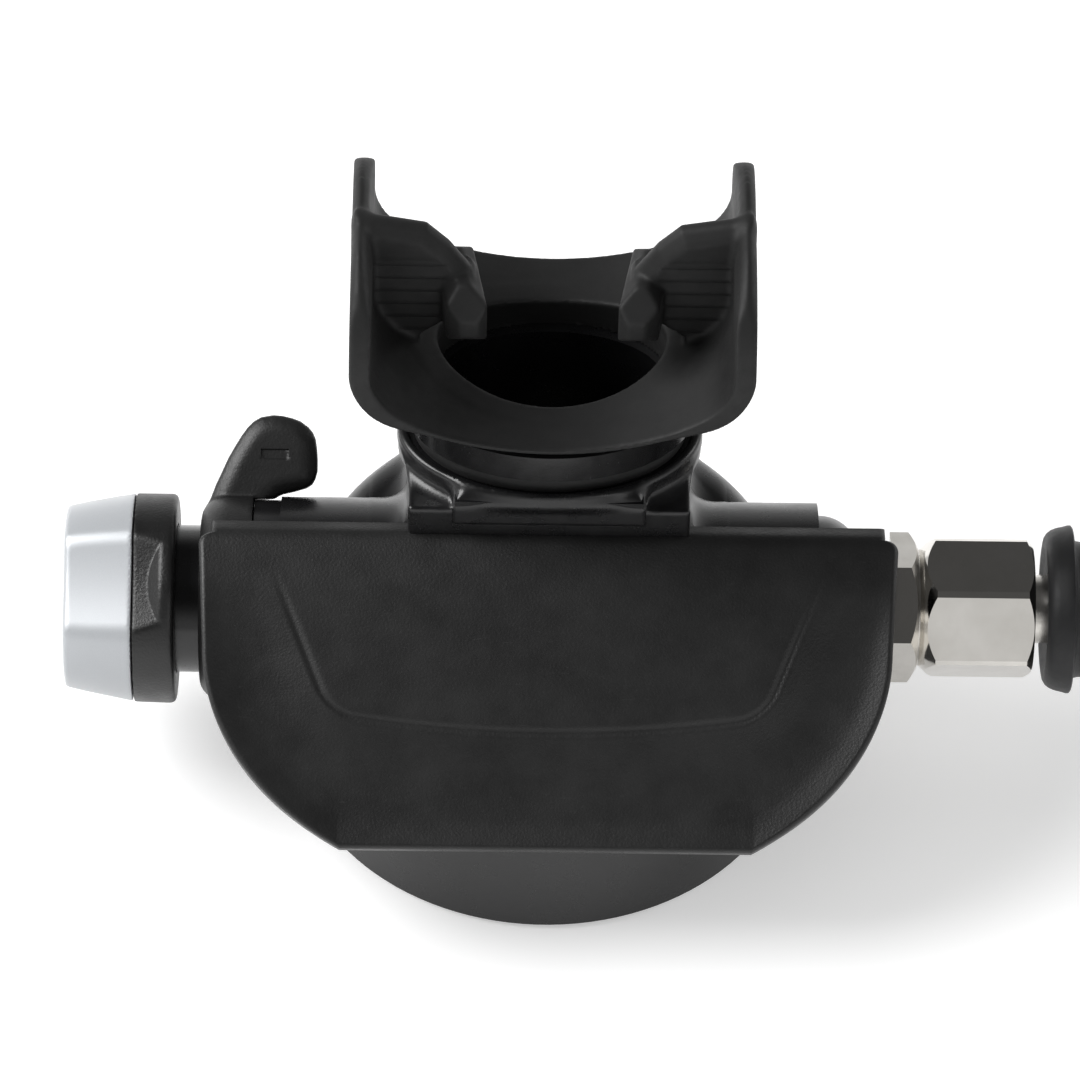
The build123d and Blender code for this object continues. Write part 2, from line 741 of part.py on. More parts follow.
def jam_nut():
    nut = hexagon_nut(jam_x[0], jam_x[1], hex_af, facet_angle - 30, ("right",))
    return nut - rod_x(jam_x[0] - 1, jam_x[1] + 1, inlet_thread_r + fit_gap)


def orifice():
    """Adjustable orifice with the raised edge that the seat closes on."""
    r = tube_bore_r - run_gap
    left = seat_face_x + fit_gap
    groove = left + 8.0
    body = turned_x([
        (left, orifice_bore_r),
        (left, orifice_bore_r + 0.35),
        (left + 1.6, orifice_bore_r + 1.2),
        (left + 1.6, r),
        (groove, r),
        (groove, r - 1.0),
        (groove + 1.6, r - 1.0),
        (groove + 1.6, r),
        (orifice_right_x, r),
        (orifice_right_x, orifice_bore_r),
    ])
    return body


def orifice_seal():
    return ring_seal(seat_face_x + fit_gap + 8.8, tube_bore_r - run_gap - 0.45, 0.5)


def inlet_filter():
    disc = rod_x(jam_x[0], jam_x[0] + 1.4, tube_bore_r - fit_gap)
    return disc


def poppet():
    """Poppet: the head that carries the seat, on a stem that runs into the balance chamber."""
    head_r = tube_bore_r - run_gap
    body = turned_x([
        (poppet_stem_left_x, 0),
        (poppet_stem_left_x, poppet_stem_r),
        (poppet_groove_x, poppet_stem_r),
        (poppet_groove_x, poppet_seal_inner - fit_gap),
        (poppet_groove_x + small_seal_wire + 2 * fit_gap, poppet_seal_inner - fit_gap),
        (poppet_groove_x + small_seal_wire + 2 * fit_gap, poppet_stem_r),
        (poppet_head_x[0], poppet_stem_r),
        (poppet_head_x[0], head_r),
        (poppet_head_x[1] + 0.6, head_r),
        (poppet_head_x[1] + 0.6, seat_r + fit_gap),
        (poppet_head_x[1] - 0.4, seat_r + fit_gap),
        (poppet_head_x[1] - 0.4, 0),
    ])
    for angle in (45, 135, 225, 315):
        notch = block(poppet_head_x[0] - 1, poppet_head_x[1] + 2, 4.6, 9, axis_z - 1.2, axis_z + 1.2)
        body -= about_valve(angle, notch)
    return body


def seat_disc():
    return rod_x(poppet_head_x[1] - 0.4 + fit_gap, seat_face_x, seat_r)


def poppet_nut():
    nut = hexagon_x(nut_left_x, nut_right_x, nut_af, 90)
    return nut - rod_x(nut_left_x - 1, nut_right_x + 1, poppet_stem_r + fit_gap)


def poppet_seal():
    wire_r = small_seal_wire / 2
    return ring_seal(poppet_groove_x + fit_gap + wire_r, poppet_seal_inner + wire_r, wire_r)


def demand_lever():
    """Bent lever: two feet behind the poppet's nut, and an arm down to the diaphragm."""
    half = lever_thick / 2

    def strip(points, y0, y1):
        outline = Polyline(*[(x, y0, z) for x, z in points], close=True)
        return extrude(make_face(outline), amount=y1 - y0, dir=(0, 1, 0))

    elbow_x = pivot_x + 3.0
    elbow_z = pivot_z - 6.4
    tip_x = pivot_x + lever_arm_x
    tip_z = pivot_z - tip_drop
    y_in, y_out = lever_foot_y
    foot = [
        (pivot_x - half, pivot_z + lever_foot),
        (pivot_x + half, pivot_z + lever_foot),
        (pivot_x + half, pivot_z),
        (elbow_x + half, elbow_z + half),
        (elbow_x - half, elbow_z - half),
        (pivot_x - half, pivot_z),
    ]
    arm = [
        (elbow_x - half, elbow_z - half),
        (elbow_x + half, elbow_z + half),
        (tip_x, tip_z + half),
        (tip_x + half, tip_z),
        (tip_x, tip_z - half),
    ]
    lever = strip(foot, y_in, y_out) + strip(foot, -y_out, -y_in)
    for y in (y_in, -y_out):
        knuckle = Plane(origin=(pivot_x, y, pivot_z), z_dir=(0, 1, 0)) * Circle(lever_knuckle_r)
        lever += extrude(knuckle, amount=y_out - y_in, dir=(0, 1, 0))
    lever += strip(arm, -lever_tip_w / 2, lever_tip_w / 2)
    bridge = [
        (elbow_x - half, elbow_z - half),
        (elbow_x + half, elbow_z + half),
        (elbow_x - 0.4, elbow_z + half + 1.8),
        (elbow_x - 1.4 - half, elbow_z + half + 1.8),
    ]
    return lever + strip(bridge, -y_out, y_out)


def poppet_spring():
    left = pusher_x[1] + fit_gap
    spring = coil_spring(nut_left_x - fit_gap - left, spring_coil_r, spring_wire, 7)
    return Pos(left, 0, axis_z) * Rot(0, 90, 0) * spring


def spring_pad():
    """Pad that the knob's screw pushes along the tube to load the spring."""
    r = tube_bore_r - run_gap
    body = rod_x(pusher_x[0], pusher_x[1], r)
    body -= rod_x(pusher_x[0] - 1, pusher_x[1] - 1.5, shaft_tip_r + run_gap)
    return body


def balance_chamber():
    left = pusher_x[1] + fit_gap
    body = rod_x(left, chamber_right_x, spring_coil_r - spring_wire / 2 - 0.35)
    return body - rod_x(left + 1.0, chamber_right_x + 1, poppet_stem_r + run_gap)


# ---- knob --------------------------------------------------------------------------------
def knob_facets(x0, x1, reach0, reach1, width):
    """Flats round the knob whose distance from the axis runs from reach0 to reach1."""
    cut = None
    half = width / 2
    for i in range(facet_count):
        points = [(x0, reach0), (x1, reach1), (x1, reach1 + 9), (x0, reach0 + 9)]
        outline = Polyline(*[(x, y, axis_z - half) for x, y in points], close=True)
        wedge = extrude(make_face(outline), amount=width, dir=(0, 0, 1))
        wedge = about_valve(facet_angle + 360 / facet_count * i, wedge)
        cut = wedge if cut is None else cut + wedge
    return cut


def knob_cap():
    """Silver cap, tapered, with three finger facets."""
    body = turned_x([
        (knob_outer_x, 0),
        (knob_outer_x, knob_tip_r - 0.8),
        (knob_outer_x + 0.8, knob_tip_r),
        (knob_joint_x, knob_r - 0.1),
        (knob_joint_x, knob_spigot_r + fit_gap),
        (knob_joint_x - 2.8, knob_spigot_r + fit_gap),
        (knob_outer_x + knob_wall, knob_tip_r - knob_wall - 1.0),
        (knob_outer_x + knob_wall, 0),
    ])
    return body - knob_facets(knob_outer_x - 1, knob_joint_x + 1, facet_reach, knob_r + 0.4, 30)


def knob_ring():
    """Black grip ring with three pockets; its web is clamped to the screw."""
    web_left = knob_joint_x
    web_right = knob_joint_x + 2.0
    body = turned_x([
        (web_left, shaft_r + fit_gap),
        (web_left, knob_spigot_r - 2.0),
        (web_left - 2.6, knob_spigot_r - 2.0),
        (web_left - 2.6, knob_spigot_r),
        (web_left + fit_gap, knob_spigot_r),
        (web_left + fit_gap, knob_r - 0.1),
        (web_left + 1.0, knob_r),
        (knob_inner_x - 0.4, knob_r),
        (knob_inner_x, knob_r - 0.4),
        (knob_inner_x, end_cap_r + run_gap),
        (web_right, end_cap_r + run_gap),
        (web_right, shaft_r + fit_gap),
    ])
    floor = knob_r - pocket_depth
    pockets = knob_facets(knob_joint_x - 0.1, knob_inner_x - 1.9, floor, floor, pocket_w)
    return body - pockets


def knob_screw():
    head = rod_x(knob_joint_x - 2.4, knob_joint_x - fit_gap, 4.6)
    head -= hexagon_x(knob_joint_x - 3, knob_joint_x - 1.0, 2.5, 90)
    return head + rod_x(knob_joint_x - fit_gap - 0.2, knob_joint_x + 9.0, 1.5)


def adjusting_screw():
    """Screw that turns with the knob; its tip drives the spring pad."""
    tip_left = pusher_x[0] - soft_gap
    collar_x = tube_left_x + 0.3
    body = turned_x([
        (knob_joint_x, 0),
        (knob_joint_x, shaft_r),
        (collar_x, shaft_r),
        (collar_x, tube_bore_r - run_gap),
        (collar_x + 1.2, tube_bore_r - run_gap),
        (collar_x + 1.2, shaft_r),
        (tip_left, shaft_r),
        (tip_left, shaft_tip_r),
        (pusher_x[1] - 2.2, shaft_tip_r),
        (pusher_x[1] - 2.2, 0),
    ])
    return body - rod_x(knob_joint_x - 1, knob_joint_x + 9.2, 1.5 + fit_gap)


def shaft_seals():
    gap = tube_bore_r - shaft_r
    centre = shaft_r + gap / 2
    return [ring_seal(x, centre, gap / 2 - fit_gap) for x in (-44.0, -40.0)]


def barrel_end_cap():
    """Black gland on the tube's end that the air-flow lever turns on."""
    washer_right = tube_left_x - fit_gap
    body = turned_x([
        (end_cap_left_x, shaft_r + run_gap),
        (end_cap_left_x, end_cap_r - 0.5),
        (end_cap_left_x + 0.5, end_cap_r),
        (end_cap_right_x, end_cap_r),
        (end_cap_right_x, tube_r + fit_gap),
        (washer_right, tube_r + fit_gap),
        (washer_right, shaft_r + run_gap),
    ])
    return body


# ---- air-flow lever ------------------------------------------------------------------------
def rounded_face(corners):
    """Flat face from (x, y, corner radius) points."""
    face = make_face(Polyline(*[(x, y) for x, y, _ in corners], close=True))
    for x, y, r in corners:
        if r:
            corner = min(face.vertices(), key=lambda v: math.hypot(v.X - x, v.Y - y))
            face = fillet(corner, r)
    return face


def paddle_outline():
    """Hooked paddle in (x, distance from the valve line)."""
    left, right = lever_ring_x
    tip = left + paddle_w
    foot_r = barrel_r + paddle_foot_gap
    root_r = barrel_r - paddle_root
    return rounded_face([
        (left + paddle_foot[0], root_r, 0),
        (left + paddle_foot[0], foot_r, 3),
        (left + paddle_back[0], foot_r + paddle_back[1], 6),
        (left + paddle_head[0], paddle_reach, 2.6),
        (left + paddle_head[1], paddle_reach - paddle_step, 3.2),
        (tip, paddle_reach - paddle_tip[0], 0),
        (tip - paddle_step, paddle_reach - paddle_tip[1], 1.2),
        (left + paddle_foot[1] + paddle_step, foot_r + 2.6 * paddle_step, 0.8),
        (left + paddle_foot[1], foot_r, 0),
        (right - paddle_foot[0], foot_r, 0),
        (right - paddle_foot[0], root_r, 0),
    ])


def venturi_lever():
    """Ring round the gland with a hooked paddle, marked - on one face and + on the other."""
    x0, x1 = lever_ring_x
    ring = turned_x([
        (x0, end_cap_r + run_gap),
        (x0, barrel_r - 2.0),
        (x0 + 1.8, barrel_r),
        (x1, barrel_r),
        (x1, end_cap_r + run_gap),
    ])
    slab = extrude(paddle_outline(), amount=paddle_thick / 2, both=True)
    rims = slab.faces().filter_by(Axis.Z).edges()
    over_ring = barrel_r + paddle_foot_gap + paddle_step
    slab = chamfer([e for e in rims if e.center().Y > over_ring], paddle_bevel)
    mark_x = x0 + (paddle_foot[1] + paddle_head[1]) / 2 - 2 * paddle_step
    mark_r = paddle_reach - mark_drop
    length, width, depth = paddle_mark
    minus = Pos(mark_x, mark_r, paddle_thick / 2) * Box(length, width, depth)
    plus = Box(length, width, depth) + Box(width, length, depth)
    plus = Pos(mark_x, mark_r, -paddle_thick / 2) * plus
    slab = slab - minus - plus
    slab = about_valve(lever_angle, Pos(0, 0, axis_z) * slab)
    slab -= rod_x(x0 - 1, x1 + 1, barrel_r - 1)
    return ring + slab


def venturi_sleeve():
    """Sleeve on the lever that reaches into the case, ending in the vane that steers the air."""
    flange = tube_x(lever_ring_x[1], barrel_left_x + 1.3, sleeve_flange_r, sleeve_bore_r)
    sleeve = tube_x(barrel_left_x, vane_x[0], sleeve_r, sleeve_bore_r)
    vane = tube_x(vane_x[0] - 1, vane_x[1], vane_r[1], vane_r[0])
    half = math.radians(vane_span / 2)
    far = 30
    points = [(0, 0), (far * math.cos(half), far * math.sin(half))]
    points += [(far * math.cos(half), -far * math.sin(half))]
    outline = Polyline(*[(vane_x[0] - 2, y, axis_z + z) for y, z in points], close=True)
    sector = extrude(make_face(outline), amount=vane_x[1] - vane_x[0] + 4, dir=(1, 0, 0))
    return flange + sleeve + (vane & about_valve(lever_angle, sector))


# ---- hose --------------------------------------------------------------------------------
def hose_nut():
    nut = hexagon_nut(nut_x[0], nut_x[1], hose_nut_af, nut_corner_angle, ("left", "right"))
    shoulder = stem_flange_x[1] + run_gap
    nut -= rod_x(nut_x[0] - 1, shoulder, inlet_thread_r + run_gap)
    return nut - rod_x(shoulder - 1, nut_x[1] + 1, stem_r + run_gap)


def hose_stem():
    """Swivel stem held in the hose nut, sealed in the inlet and crimped into the hose."""
    body = turned_x([
        (stem_flange_x[0] - 3.5, 0),
        (stem_flange_x[0] - 3.5, tube_bore_r - 0.6),
        (stem_flange_x[0] - 2.4, tube_bore_r - 0.6),
        (stem_flange_x[0] - 2.4, tube_bore_r - 1.3),
        (stem_flange_x[0] - 1.0, tube_bore_r - 1.3),
        (stem_flange_x[0] - 1.0, tube_bore_r - 0.6),
        (stem_flange_x[0], tube_bore_r - 0.6),
        (stem_flange_x[0], stem_flange_r),
        (stem_flange_x[1], stem_flange_r),
        (stem_flange_x[1], stem_r),
        (ferrule_x[0], stem_r),
        (ferrule_x[0], 0),
    ])
    return body - rod_x(stem_flange_x[0] - 5, ferrule_x[0] + 1, stem_bore_r)


def stem_seal():
    return ring_seal(stem_flange_x[0] - 1.7, tube_bore_r - 0.7, 0.55)


def hose_ferrule():
    """Crimped ferrule with the hose's end inside it."""
    x0, x1 = ferrule_x
    groove = 0.35
    points = [(x0, 0), (x0, ferrule_r - 0.6), (x0 + 0.6, ferrule_r)]
    for i in range(3):
        start = x0 + 4.0 + 5.2 * i
        points += [(start, ferrule_r), (start + 0.6, ferrule_r - groove)]
        points += [(start + 2.4, ferrule_r - groove), (start + 3.0, ferrule_r)]
    points += [(x1 - 0.6, ferrule_r), (x1, ferrule_r - 0.6), (x1, 0)]
    return turned_x(points)


def hose_protector():
    """Rubber strain relief: a collar against the nut, then a ribbed sleeve that tapers."""
    c0, c1 = sleeve_collar_x
    points = [(c0, stem_r + soft_gap), (c0, sleeve_collar_r - 2.2), (c0 + 1.4, sleeve_collar_r)]
    points += [(c1, sleeve_collar_r), (c1, sleeve_big_r)]
    rib_from = c1 + 10.0
    pitch = (sleeve_end_x - 3 - rib_from) / rib_count
    taper = (sleeve_big_r - sleeve_small_r) / (sleeve_end_x - c1)
    for i in range(rib_count):
        x = rib_from + pitch * i
        r = sleeve_big_r - taper * (x - c1)
        points += [(x, r), (x + 0.4, r - 0.7), (x + 1.8, r - 0.7), (x + 2.2, r)]
    points += [(sleeve_end_x, sleeve_small_r), (sleeve_end_x, hose_d / 2 + fit_gap)]
    points += [(ferrule_x[1] + fit_gap, hose_d / 2 + fit_gap)]
    points += [(ferrule_x[1] + fit_gap, ferrule_r + fit_gap)]
    points += [(ferrule_x[0] - fit_gap, ferrule_r + fit_gap), (ferrule_x[0] - fit_gap, stem_r + soft_gap)]
    return turned_x(points)


def loop_points():
    """Points of the loop, widening slowly so that the turn clears itself."""
    points = []
    for k in range(loop_count):
        angle = math.radians(loop_first_angle + 360 / loop_steps * k)
        r = loop_r + loop_pitch * k / loop_steps
        points.append((
            loop_centre[0] + r * math.cos(angle),
            loop_centre[1] + r * math.sin(angle),
            lie_z,
        ))
    x, y, _ = points[-1]
    for run in tail_runs:
        x += run
        points.append((x, y, far_z))
    return points


def arc_radii(points, named):
    """Largest tangent arc at each inner point, and the length of the rounded route."""
    runs = [(Vector(*b) - Vector(*a)) for a, b in zip(points, points[1:])]
    radii = []
    length = sum(r.length for r in runs)
    for a, b in zip(runs, runs[1:]):
        turn = math.radians(a.get_angle(b))
        tangent = 0.45 * min(a.length, b.length)
        radii.append(tangent / math.tan(turn / 2))
        length += radii[-1] * turn - 2 * tangent
    print(named, "radii", [round(r, 1) for r in radii], "length", round(length, 1))
    return radii, length


def hose_tube(points, radii, length, named):
    path = FilletPolyline(*points, radius=radii)
    section = Plane(origin=path @ 0, z_dir=path % 0) * Circle(hose_d / 2)
    tube = sweep(section, path=path)
    wanted = math.pi * (hose_d / 2) ** 2 * length
    print(named, "volume", round(tube.volume), "section times length", round(wanted))
    return tube


def split_route():
    """The free stretch and the loop, split in the middle of the run between them."""
    loop = loop_points()
    a = Vector(*hose_points[-1])
    b = Vector(*loop[0])
    middle = tuple((a + b) * 0.5)
    whole = hose_points + loop
    radii, _ = arc_radii(whole, "whole hose")
    free = hose_points + [middle]
    ring = [middle] + loop
    return free, ring, radii[: len(free) - 2], radii[len(free) - 2 :]


def rounded_length(points, radii):
    runs = [(Vector(*b) - Vector(*a)) for a, b in zip(points, points[1:])]
    length = sum(r.length for r in runs)
    for a, b, r in zip(runs, runs[1:], radii):
        turn = math.radians(a.get_angle(b))
        length += r * turn - 2 * r * math.tan(turn / 2)
    return length


loop_end = loop_points()[-1]
far_plane = Plane(origin=loop_end, x_dir=(0, 0, 1), z_dir=(1, 0, 0))


def turned_far(points):
    """Solid turned about the hose's far end from (distance beyond the hose, radius) corners."""
    outline = Polyline(*[(r, 0, d) for d, r in points], close=True)
    return far_plane * revolve(make_face(outline), Axis.Z)


far_ferrule_r = far_z - hose_floor
hex_start = far_ferrule_l + 1.0
shoulder_d = hex_start + fitting_hex_l


def far_ferrule():
    r = far_ferrule_r
    points = [(0, 0), (0, r - 0.5), (0.5, r)]
    for i in range(3):
        start = 4.0 + 5.2 * i
        points += [(start, r), (start + 0.6, r - 0.35), (start + 2.4, r - 0.35), (start + 3.0, r)]
    points += [(far_ferrule_l - 0.5, r), (far_ferrule_l, r - 0.5), (far_ferrule_l, 0)]
    return turned_far(points)


def first_stage_fitting():
    """Fitting that screws into a low-pressure port of a first stage."""
    outline = RegularPolygon(fitting_hex_af / 2, 6, major_radius=False)
    prism = far_plane * Pos(0, 0, hex_start) * Rot(0, 0, 30) * extrude(outline, amount=fitting_hex_l)
    end = shoulder_d + relief_l + fitting_thread_l
    body = turned_far([
        (far_ferrule_l, 0),
        (far_ferrule_l, relief_r),
        (shoulder_d + relief_l, relief_r),
        (shoulder_d + relief_l, fitting_thread_r),
        (end, fitting_thread_r),
        (end, 0),
    ])
    cap_r = fitting_hex_af / 2 / math.cos(math.radians(30)) + 0.1
    turned = turned_far([
        (hex_start, 0),
        (hex_start, fitting_hex_af / 2 - 0.2),
        (hex_start + 0.7, cap_r),
        (shoulder_d - 0.7, cap_r),
        (shoulder_d, fitting_hex_af / 2 - 0.2),
        (shoulder_d, 0),
    ])
    bore = turned_far([(far_ferrule_l - 1, 0), (far_ferrule_l - 1, 2.0), (end + 1, 2.0), (end + 1, 0)])
    return body + (prism & turned) - bore


def fitting_seal():
    return far_plane * Pos(0, 0, shoulder_d + relief_l / 2) * Torus(relief_r + relief_l / 2, relief_l / 2 - fit_gap)


def tidy(shape):
    """One compound or solid, whatever the operations above gave."""
    if isinstance(shape, list):
        return Compound(children=shape)
    solids = shape.solids()
    return solids[0] if len(solids) == 1 else Compound(children=list(solids))


free_route, loop_route, free_radii, loop_radii = split_route()

nodes = {
    "case_body": case_body,
    "exhaust_seat": exhaust_seat,
    "exhaust_valve": exhaust_valve,
    "exhaust_tee": exhaust_tee,
    "mouthpiece": mouthpiece,
    "mouthpiece_clamp": mouthpiece_clamp,
    "purge_cover": purge_cover,
    "purge_button": purge_button,
    "purge_spring": purge_spring,
    "diaphragm_clamp_ring": diaphragm_clamp_ring,
    "diaphragm": diaphragm,
    "diaphragm_plate": diaphragm_plate,
    "demand_lever": demand_lever,
    "valve_tube": valve_tube,
    "jam_nut": jam_nut,
    "inlet_filter": inlet_filter,
    "orifice": orifice,
    "orifice_seal": orifice_seal,
    "poppet": poppet,
    "seat_disc": seat_disc,
    "poppet_nut": poppet_nut,
    "poppet_seal": poppet_seal,
    "poppet_spring": poppet_spring,
    "spring_pad": spring_pad,
    "balance_chamber": balance_chamber,
    "adjusting_screw": adjusting_screw,
    "shaft_seals": shaft_seals,
    "barrel_end_cap": barrel_end_cap,
    "knob_ring": knob_ring,
    "knob_cap": knob_cap,
    "knob_screw": knob_screw,
    "venturi_lever": venturi_lever,
    "venturi_sleeve": venturi_sleeve,
    "hose_nut": hose_nut,
    "hose_stem": hose_stem,
    "stem_seal": stem_seal,
    "hose_ferrule": hose_ferrule,
    "hose_protector": hose_protector,
    "hose": lambda: hose_tube(
        free_route, free_radii, rounded_length(free_route, free_radii), "free stretch"
    ),
    "hose_coil": lambda: hose_tube(
        loop_route, loop_radii, rounded_length(loop_route, loop_radii), "loop"
    ),
    "far_ferrule": far_ferrule,
    "first_stage_fitting": first_stage_fitting,
    "fitting_seal": fitting_seal,
}

os.makedirs("parts", exist_ok=True)
for name, make in nodes.items():
    export_step(tidy(make()), f"parts/{name}.step")
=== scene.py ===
import json
import math

import bmesh
import bpy
import numpy
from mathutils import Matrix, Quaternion, Vector


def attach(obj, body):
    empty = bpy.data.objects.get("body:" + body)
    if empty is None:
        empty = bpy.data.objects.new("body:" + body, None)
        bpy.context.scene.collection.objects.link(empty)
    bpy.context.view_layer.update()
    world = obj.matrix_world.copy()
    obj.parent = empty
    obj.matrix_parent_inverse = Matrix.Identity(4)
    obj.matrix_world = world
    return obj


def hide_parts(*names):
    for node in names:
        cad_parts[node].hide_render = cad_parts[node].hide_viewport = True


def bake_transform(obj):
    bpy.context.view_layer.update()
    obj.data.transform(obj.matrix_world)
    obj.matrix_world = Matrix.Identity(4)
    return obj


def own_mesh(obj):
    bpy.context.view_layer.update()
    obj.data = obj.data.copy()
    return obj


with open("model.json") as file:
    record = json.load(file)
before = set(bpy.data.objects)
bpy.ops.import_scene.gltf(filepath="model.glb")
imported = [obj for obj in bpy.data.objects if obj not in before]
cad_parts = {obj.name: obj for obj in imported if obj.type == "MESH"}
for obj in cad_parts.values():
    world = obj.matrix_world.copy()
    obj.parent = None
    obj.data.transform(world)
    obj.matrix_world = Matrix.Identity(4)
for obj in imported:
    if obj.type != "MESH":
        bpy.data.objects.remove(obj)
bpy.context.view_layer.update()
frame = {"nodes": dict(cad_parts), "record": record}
scene = bpy.context.scene
nodes = frame["nodes"]
mm = 0.001
diagonal = 0.7071  # turns a sum of two distances into one across the corner
lineHeight = 27.7  # valve line above the floor, in mm
neckY = 9.0  # middle of the neck and mouthpiece, towards the nose


def linear(hexColour):
    values = [int(hexColour[i : i + 2], 16) / 255 for i in (1, 3, 5)]
    return [v / 12.92 if v <= 0.04045 else ((v + 0.055) / 1.055) ** 2.4 for v in values] + [1.0]


def placed(name, data):
    obj = bpy.data.objects.new(name, data)
    scene.collection.objects.link(obj)
    return obj


def addNode(tree, kind, settings=None, links=None):
    node = tree.nodes.new(kind)
    for name, value in (settings or {}).items():
        if isinstance(name, int) or name in node.inputs:
            node.inputs[name].default_value = value
        else:
            setattr(node, name, value)
    for name, output in (links or {}).items():
        tree.links.new(output, node.inputs[name])
    return node


# Camera at standing height over a table, a little turned and tipped
cameraView = {
    "target": (-0.9, 21.0, 17.2),
    "distance": 1020.5,
    "elevation": 48.0,
    "azimuth": -0.61,
    "roll": 1.17,
    "lens": 243.3,
    "sensor": 36,
}


def addCamera():
    view = cameraView
    data = bpy.data.cameras.new("camera")
    data.lens = view["lens"]
    data.sensor_width = view["sensor"]
    camera = placed("camera", data)
    up = math.radians(view["elevation"])
    turn = math.radians(view["azimuth"])
    away = Vector((math.sin(turn) * math.cos(up), -math.cos(turn) * math.cos(up), math.sin(up)))
    camera.location = (Vector(view["target"]) + away * view["distance"]) * mm
    camera.rotation_mode = "QUATERNION"
    roll = Quaternion((0, 0, 1), math.radians(view["roll"]))
    camera.rotation_quaternion = (-away).to_track_quat("-Z", "Y") @ roll
    scene.camera = camera


# Low-pressure hose: out of the ferrule, down to the floor, once round, and off to the fitting
hoseRun = {
    "diameter": 11.0,
    "length": 534.7,
    "freePoints": [(90.0, 0.0, 27.7), (134.0, 0.0, 27.7), (166.0, -10.0, 9.5)],
    "loopCentre": (184.0, 49.0),
    "loopRadius": 63.0,
    "loopPitch": 13.5,
    "pointsPerTurn": 10,
    "firstAngle": -72.0,
    "lieHeight": 5.6,
    "tailRuns": (23.0, 21.0),
    "tailHeight": 7.25,
}


def hoseRoute():
    run = hoseRun
    points = list(run["freePoints"])
    for k in range(run["pointsPerTurn"]):
        share = k / run["pointsPerTurn"]
        angle = math.radians(run["firstAngle"]) + 2 * math.pi * share
        radius = run["loopRadius"] + run["loopPitch"] * share
        x = run["loopCentre"][0] + radius * math.cos(angle)
        y = run["loopCentre"][1] + radius * math.sin(angle)
        points.append((x, y, run["lieHeight"]))
    for step in run["tailRuns"]:
        x += step
        points.append((x, y, run["tailHeight"]))
    return points


def layHose(material):
    route = hoseRoute()
    curve = bpy.data.curves.new("hoseCover", "CURVE")
    curve.dimensions = "3D"
    curve.resolution_u = 24
    curve.bevel_depth = hoseRun["diameter"] / 2 * mm
    curve.bevel_resolution = 8
    curve.use_fill_caps = True
    spline = curve.splines.new("NURBS")
    spline.points.add(len(route) - 1)
    for point, place in zip(spline.points, route):
        point.co = (*(v * mm for v in place), 1.0)
    spline.order_u = 3
    spline.use_endpoint_u = True
    hose = placed("hoseCover", curve)
    curve.materials.append(material)
    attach(hose, "case")
    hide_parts("hose", "hose_coil")
    print("hose laid in", len(route), "points")


# Pale table and studio light
studio = {
    "floorColour": "#e4e4e4",
    "floorGlow": 0.38,  # lifts the floor to white where no shadow falls
    "floorCentre": (0.05, 0.03, 0.0),
    "floorRings": [(0.4, 0.0), (1.5, 0.0), (4.0, 0.0), (8.0, 0.9)],  # radius, height in metres
    "floorSides": 48,
    # What glossy parts mirror, from the horizon (0) to straight above (1)
    "mirrored": [(0.0, 1.0), (0.2, 0.9), (0.48, 0.3), (0.66, 0.09), (0.86, 0.09), (1.0, 0.13)],
    "skyLight": 0.56,
    "litPoint": (0, 0, 30),
    # Name, place, size and power in watts
    "softboxes": [
        ("keySoftbox", (-620, 10, 650), (500, 500), 8.6),
        ("frontSoftbox", (460, -700, 460), (560, 300), 0.7),
        ("sideSoftbox", (800, 220, 420), (300, 420), 1.2),
    ],
}


def seenDirectly(tree):
    path = addNode(tree, "ShaderNodeLightPath")
    seen = path.outputs["Is Camera Ray"]
    for ray in ("Is Glossy Ray", "Is Transmission Ray"):
        links = {0: seen, 1: path.outputs[ray]}
        seen = addNode(tree, "ShaderNodeMath", {"operation": "MAXIMUM"}, links).outputs[0]
    return seen


def floorPaint():
    # Matt white card: takes soft shadows, and reads as white elsewhere
    material = bpy.data.materials.new("mattWhiteCard")
    material.use_nodes = True
    tree = material.node_tree
    tree.nodes.clear()
    out = addNode(tree, "ShaderNodeOutputMaterial")
    card = addNode(tree, "ShaderNodeBsdfDiffuse", {"Color": linear(studio["floorColour"])})
    amount = {"operation": "MULTIPLY", 1: studio["floorGlow"]}
    strength = addNode(tree, "ShaderNodeMath", amount, {0: seenDirectly(tree)})
    glow = addNode(tree, "ShaderNodeEmission", None, {"Strength": strength.outputs[0]})
    both = addNode(tree, "ShaderNodeAddShader", None, {0: card.outputs[0], 1: glow.outputs[0]})
    tree.links.new(both.outputs[0], out.inputs["Surface"])
    return material


def addFloor():
    work = bmesh.new()
    centre = work.verts.new(studio["floorCentre"])
    sides = studio["floorSides"]
    previous = None
    for radius, height in studio["floorRings"]:
        ring = []
        for k in range(sides):
            a = 2 * math.pi * k / sides
            ring.append(work.verts.new((radius * math.cos(a), radius * math.sin(a), height)))
        for k in range(sides):
            n = (k + 1) % sides
            if previous:
                work.faces.new((previous[k], ring[k], ring[n], previous[n]))
            else:
                work.faces.new((centre, ring[k], ring[n]))
        previous = ring
    mesh = bpy.data.meshes.new("floor")
    work.to_mesh(mesh)
    work.free()
    mesh.materials.append(floorPaint())
    placed("floor", mesh)


def addLights():
    for name, place, size, power in studio["softboxes"]:
        data = bpy.data.lights.new(name, "AREA")
        data.shape = "RECTANGLE"
        data.size, data.size_y = size[0] * mm, size[1] * mm
        data.energy = power
        lamp = placed(name, data)
        lamp.location = Vector(place) * mm
        aim = Vector(studio["litPoint"]) - Vector(place)
        lamp.rotation_euler = aim.to_track_quat("-Z", "Y").to_euler()


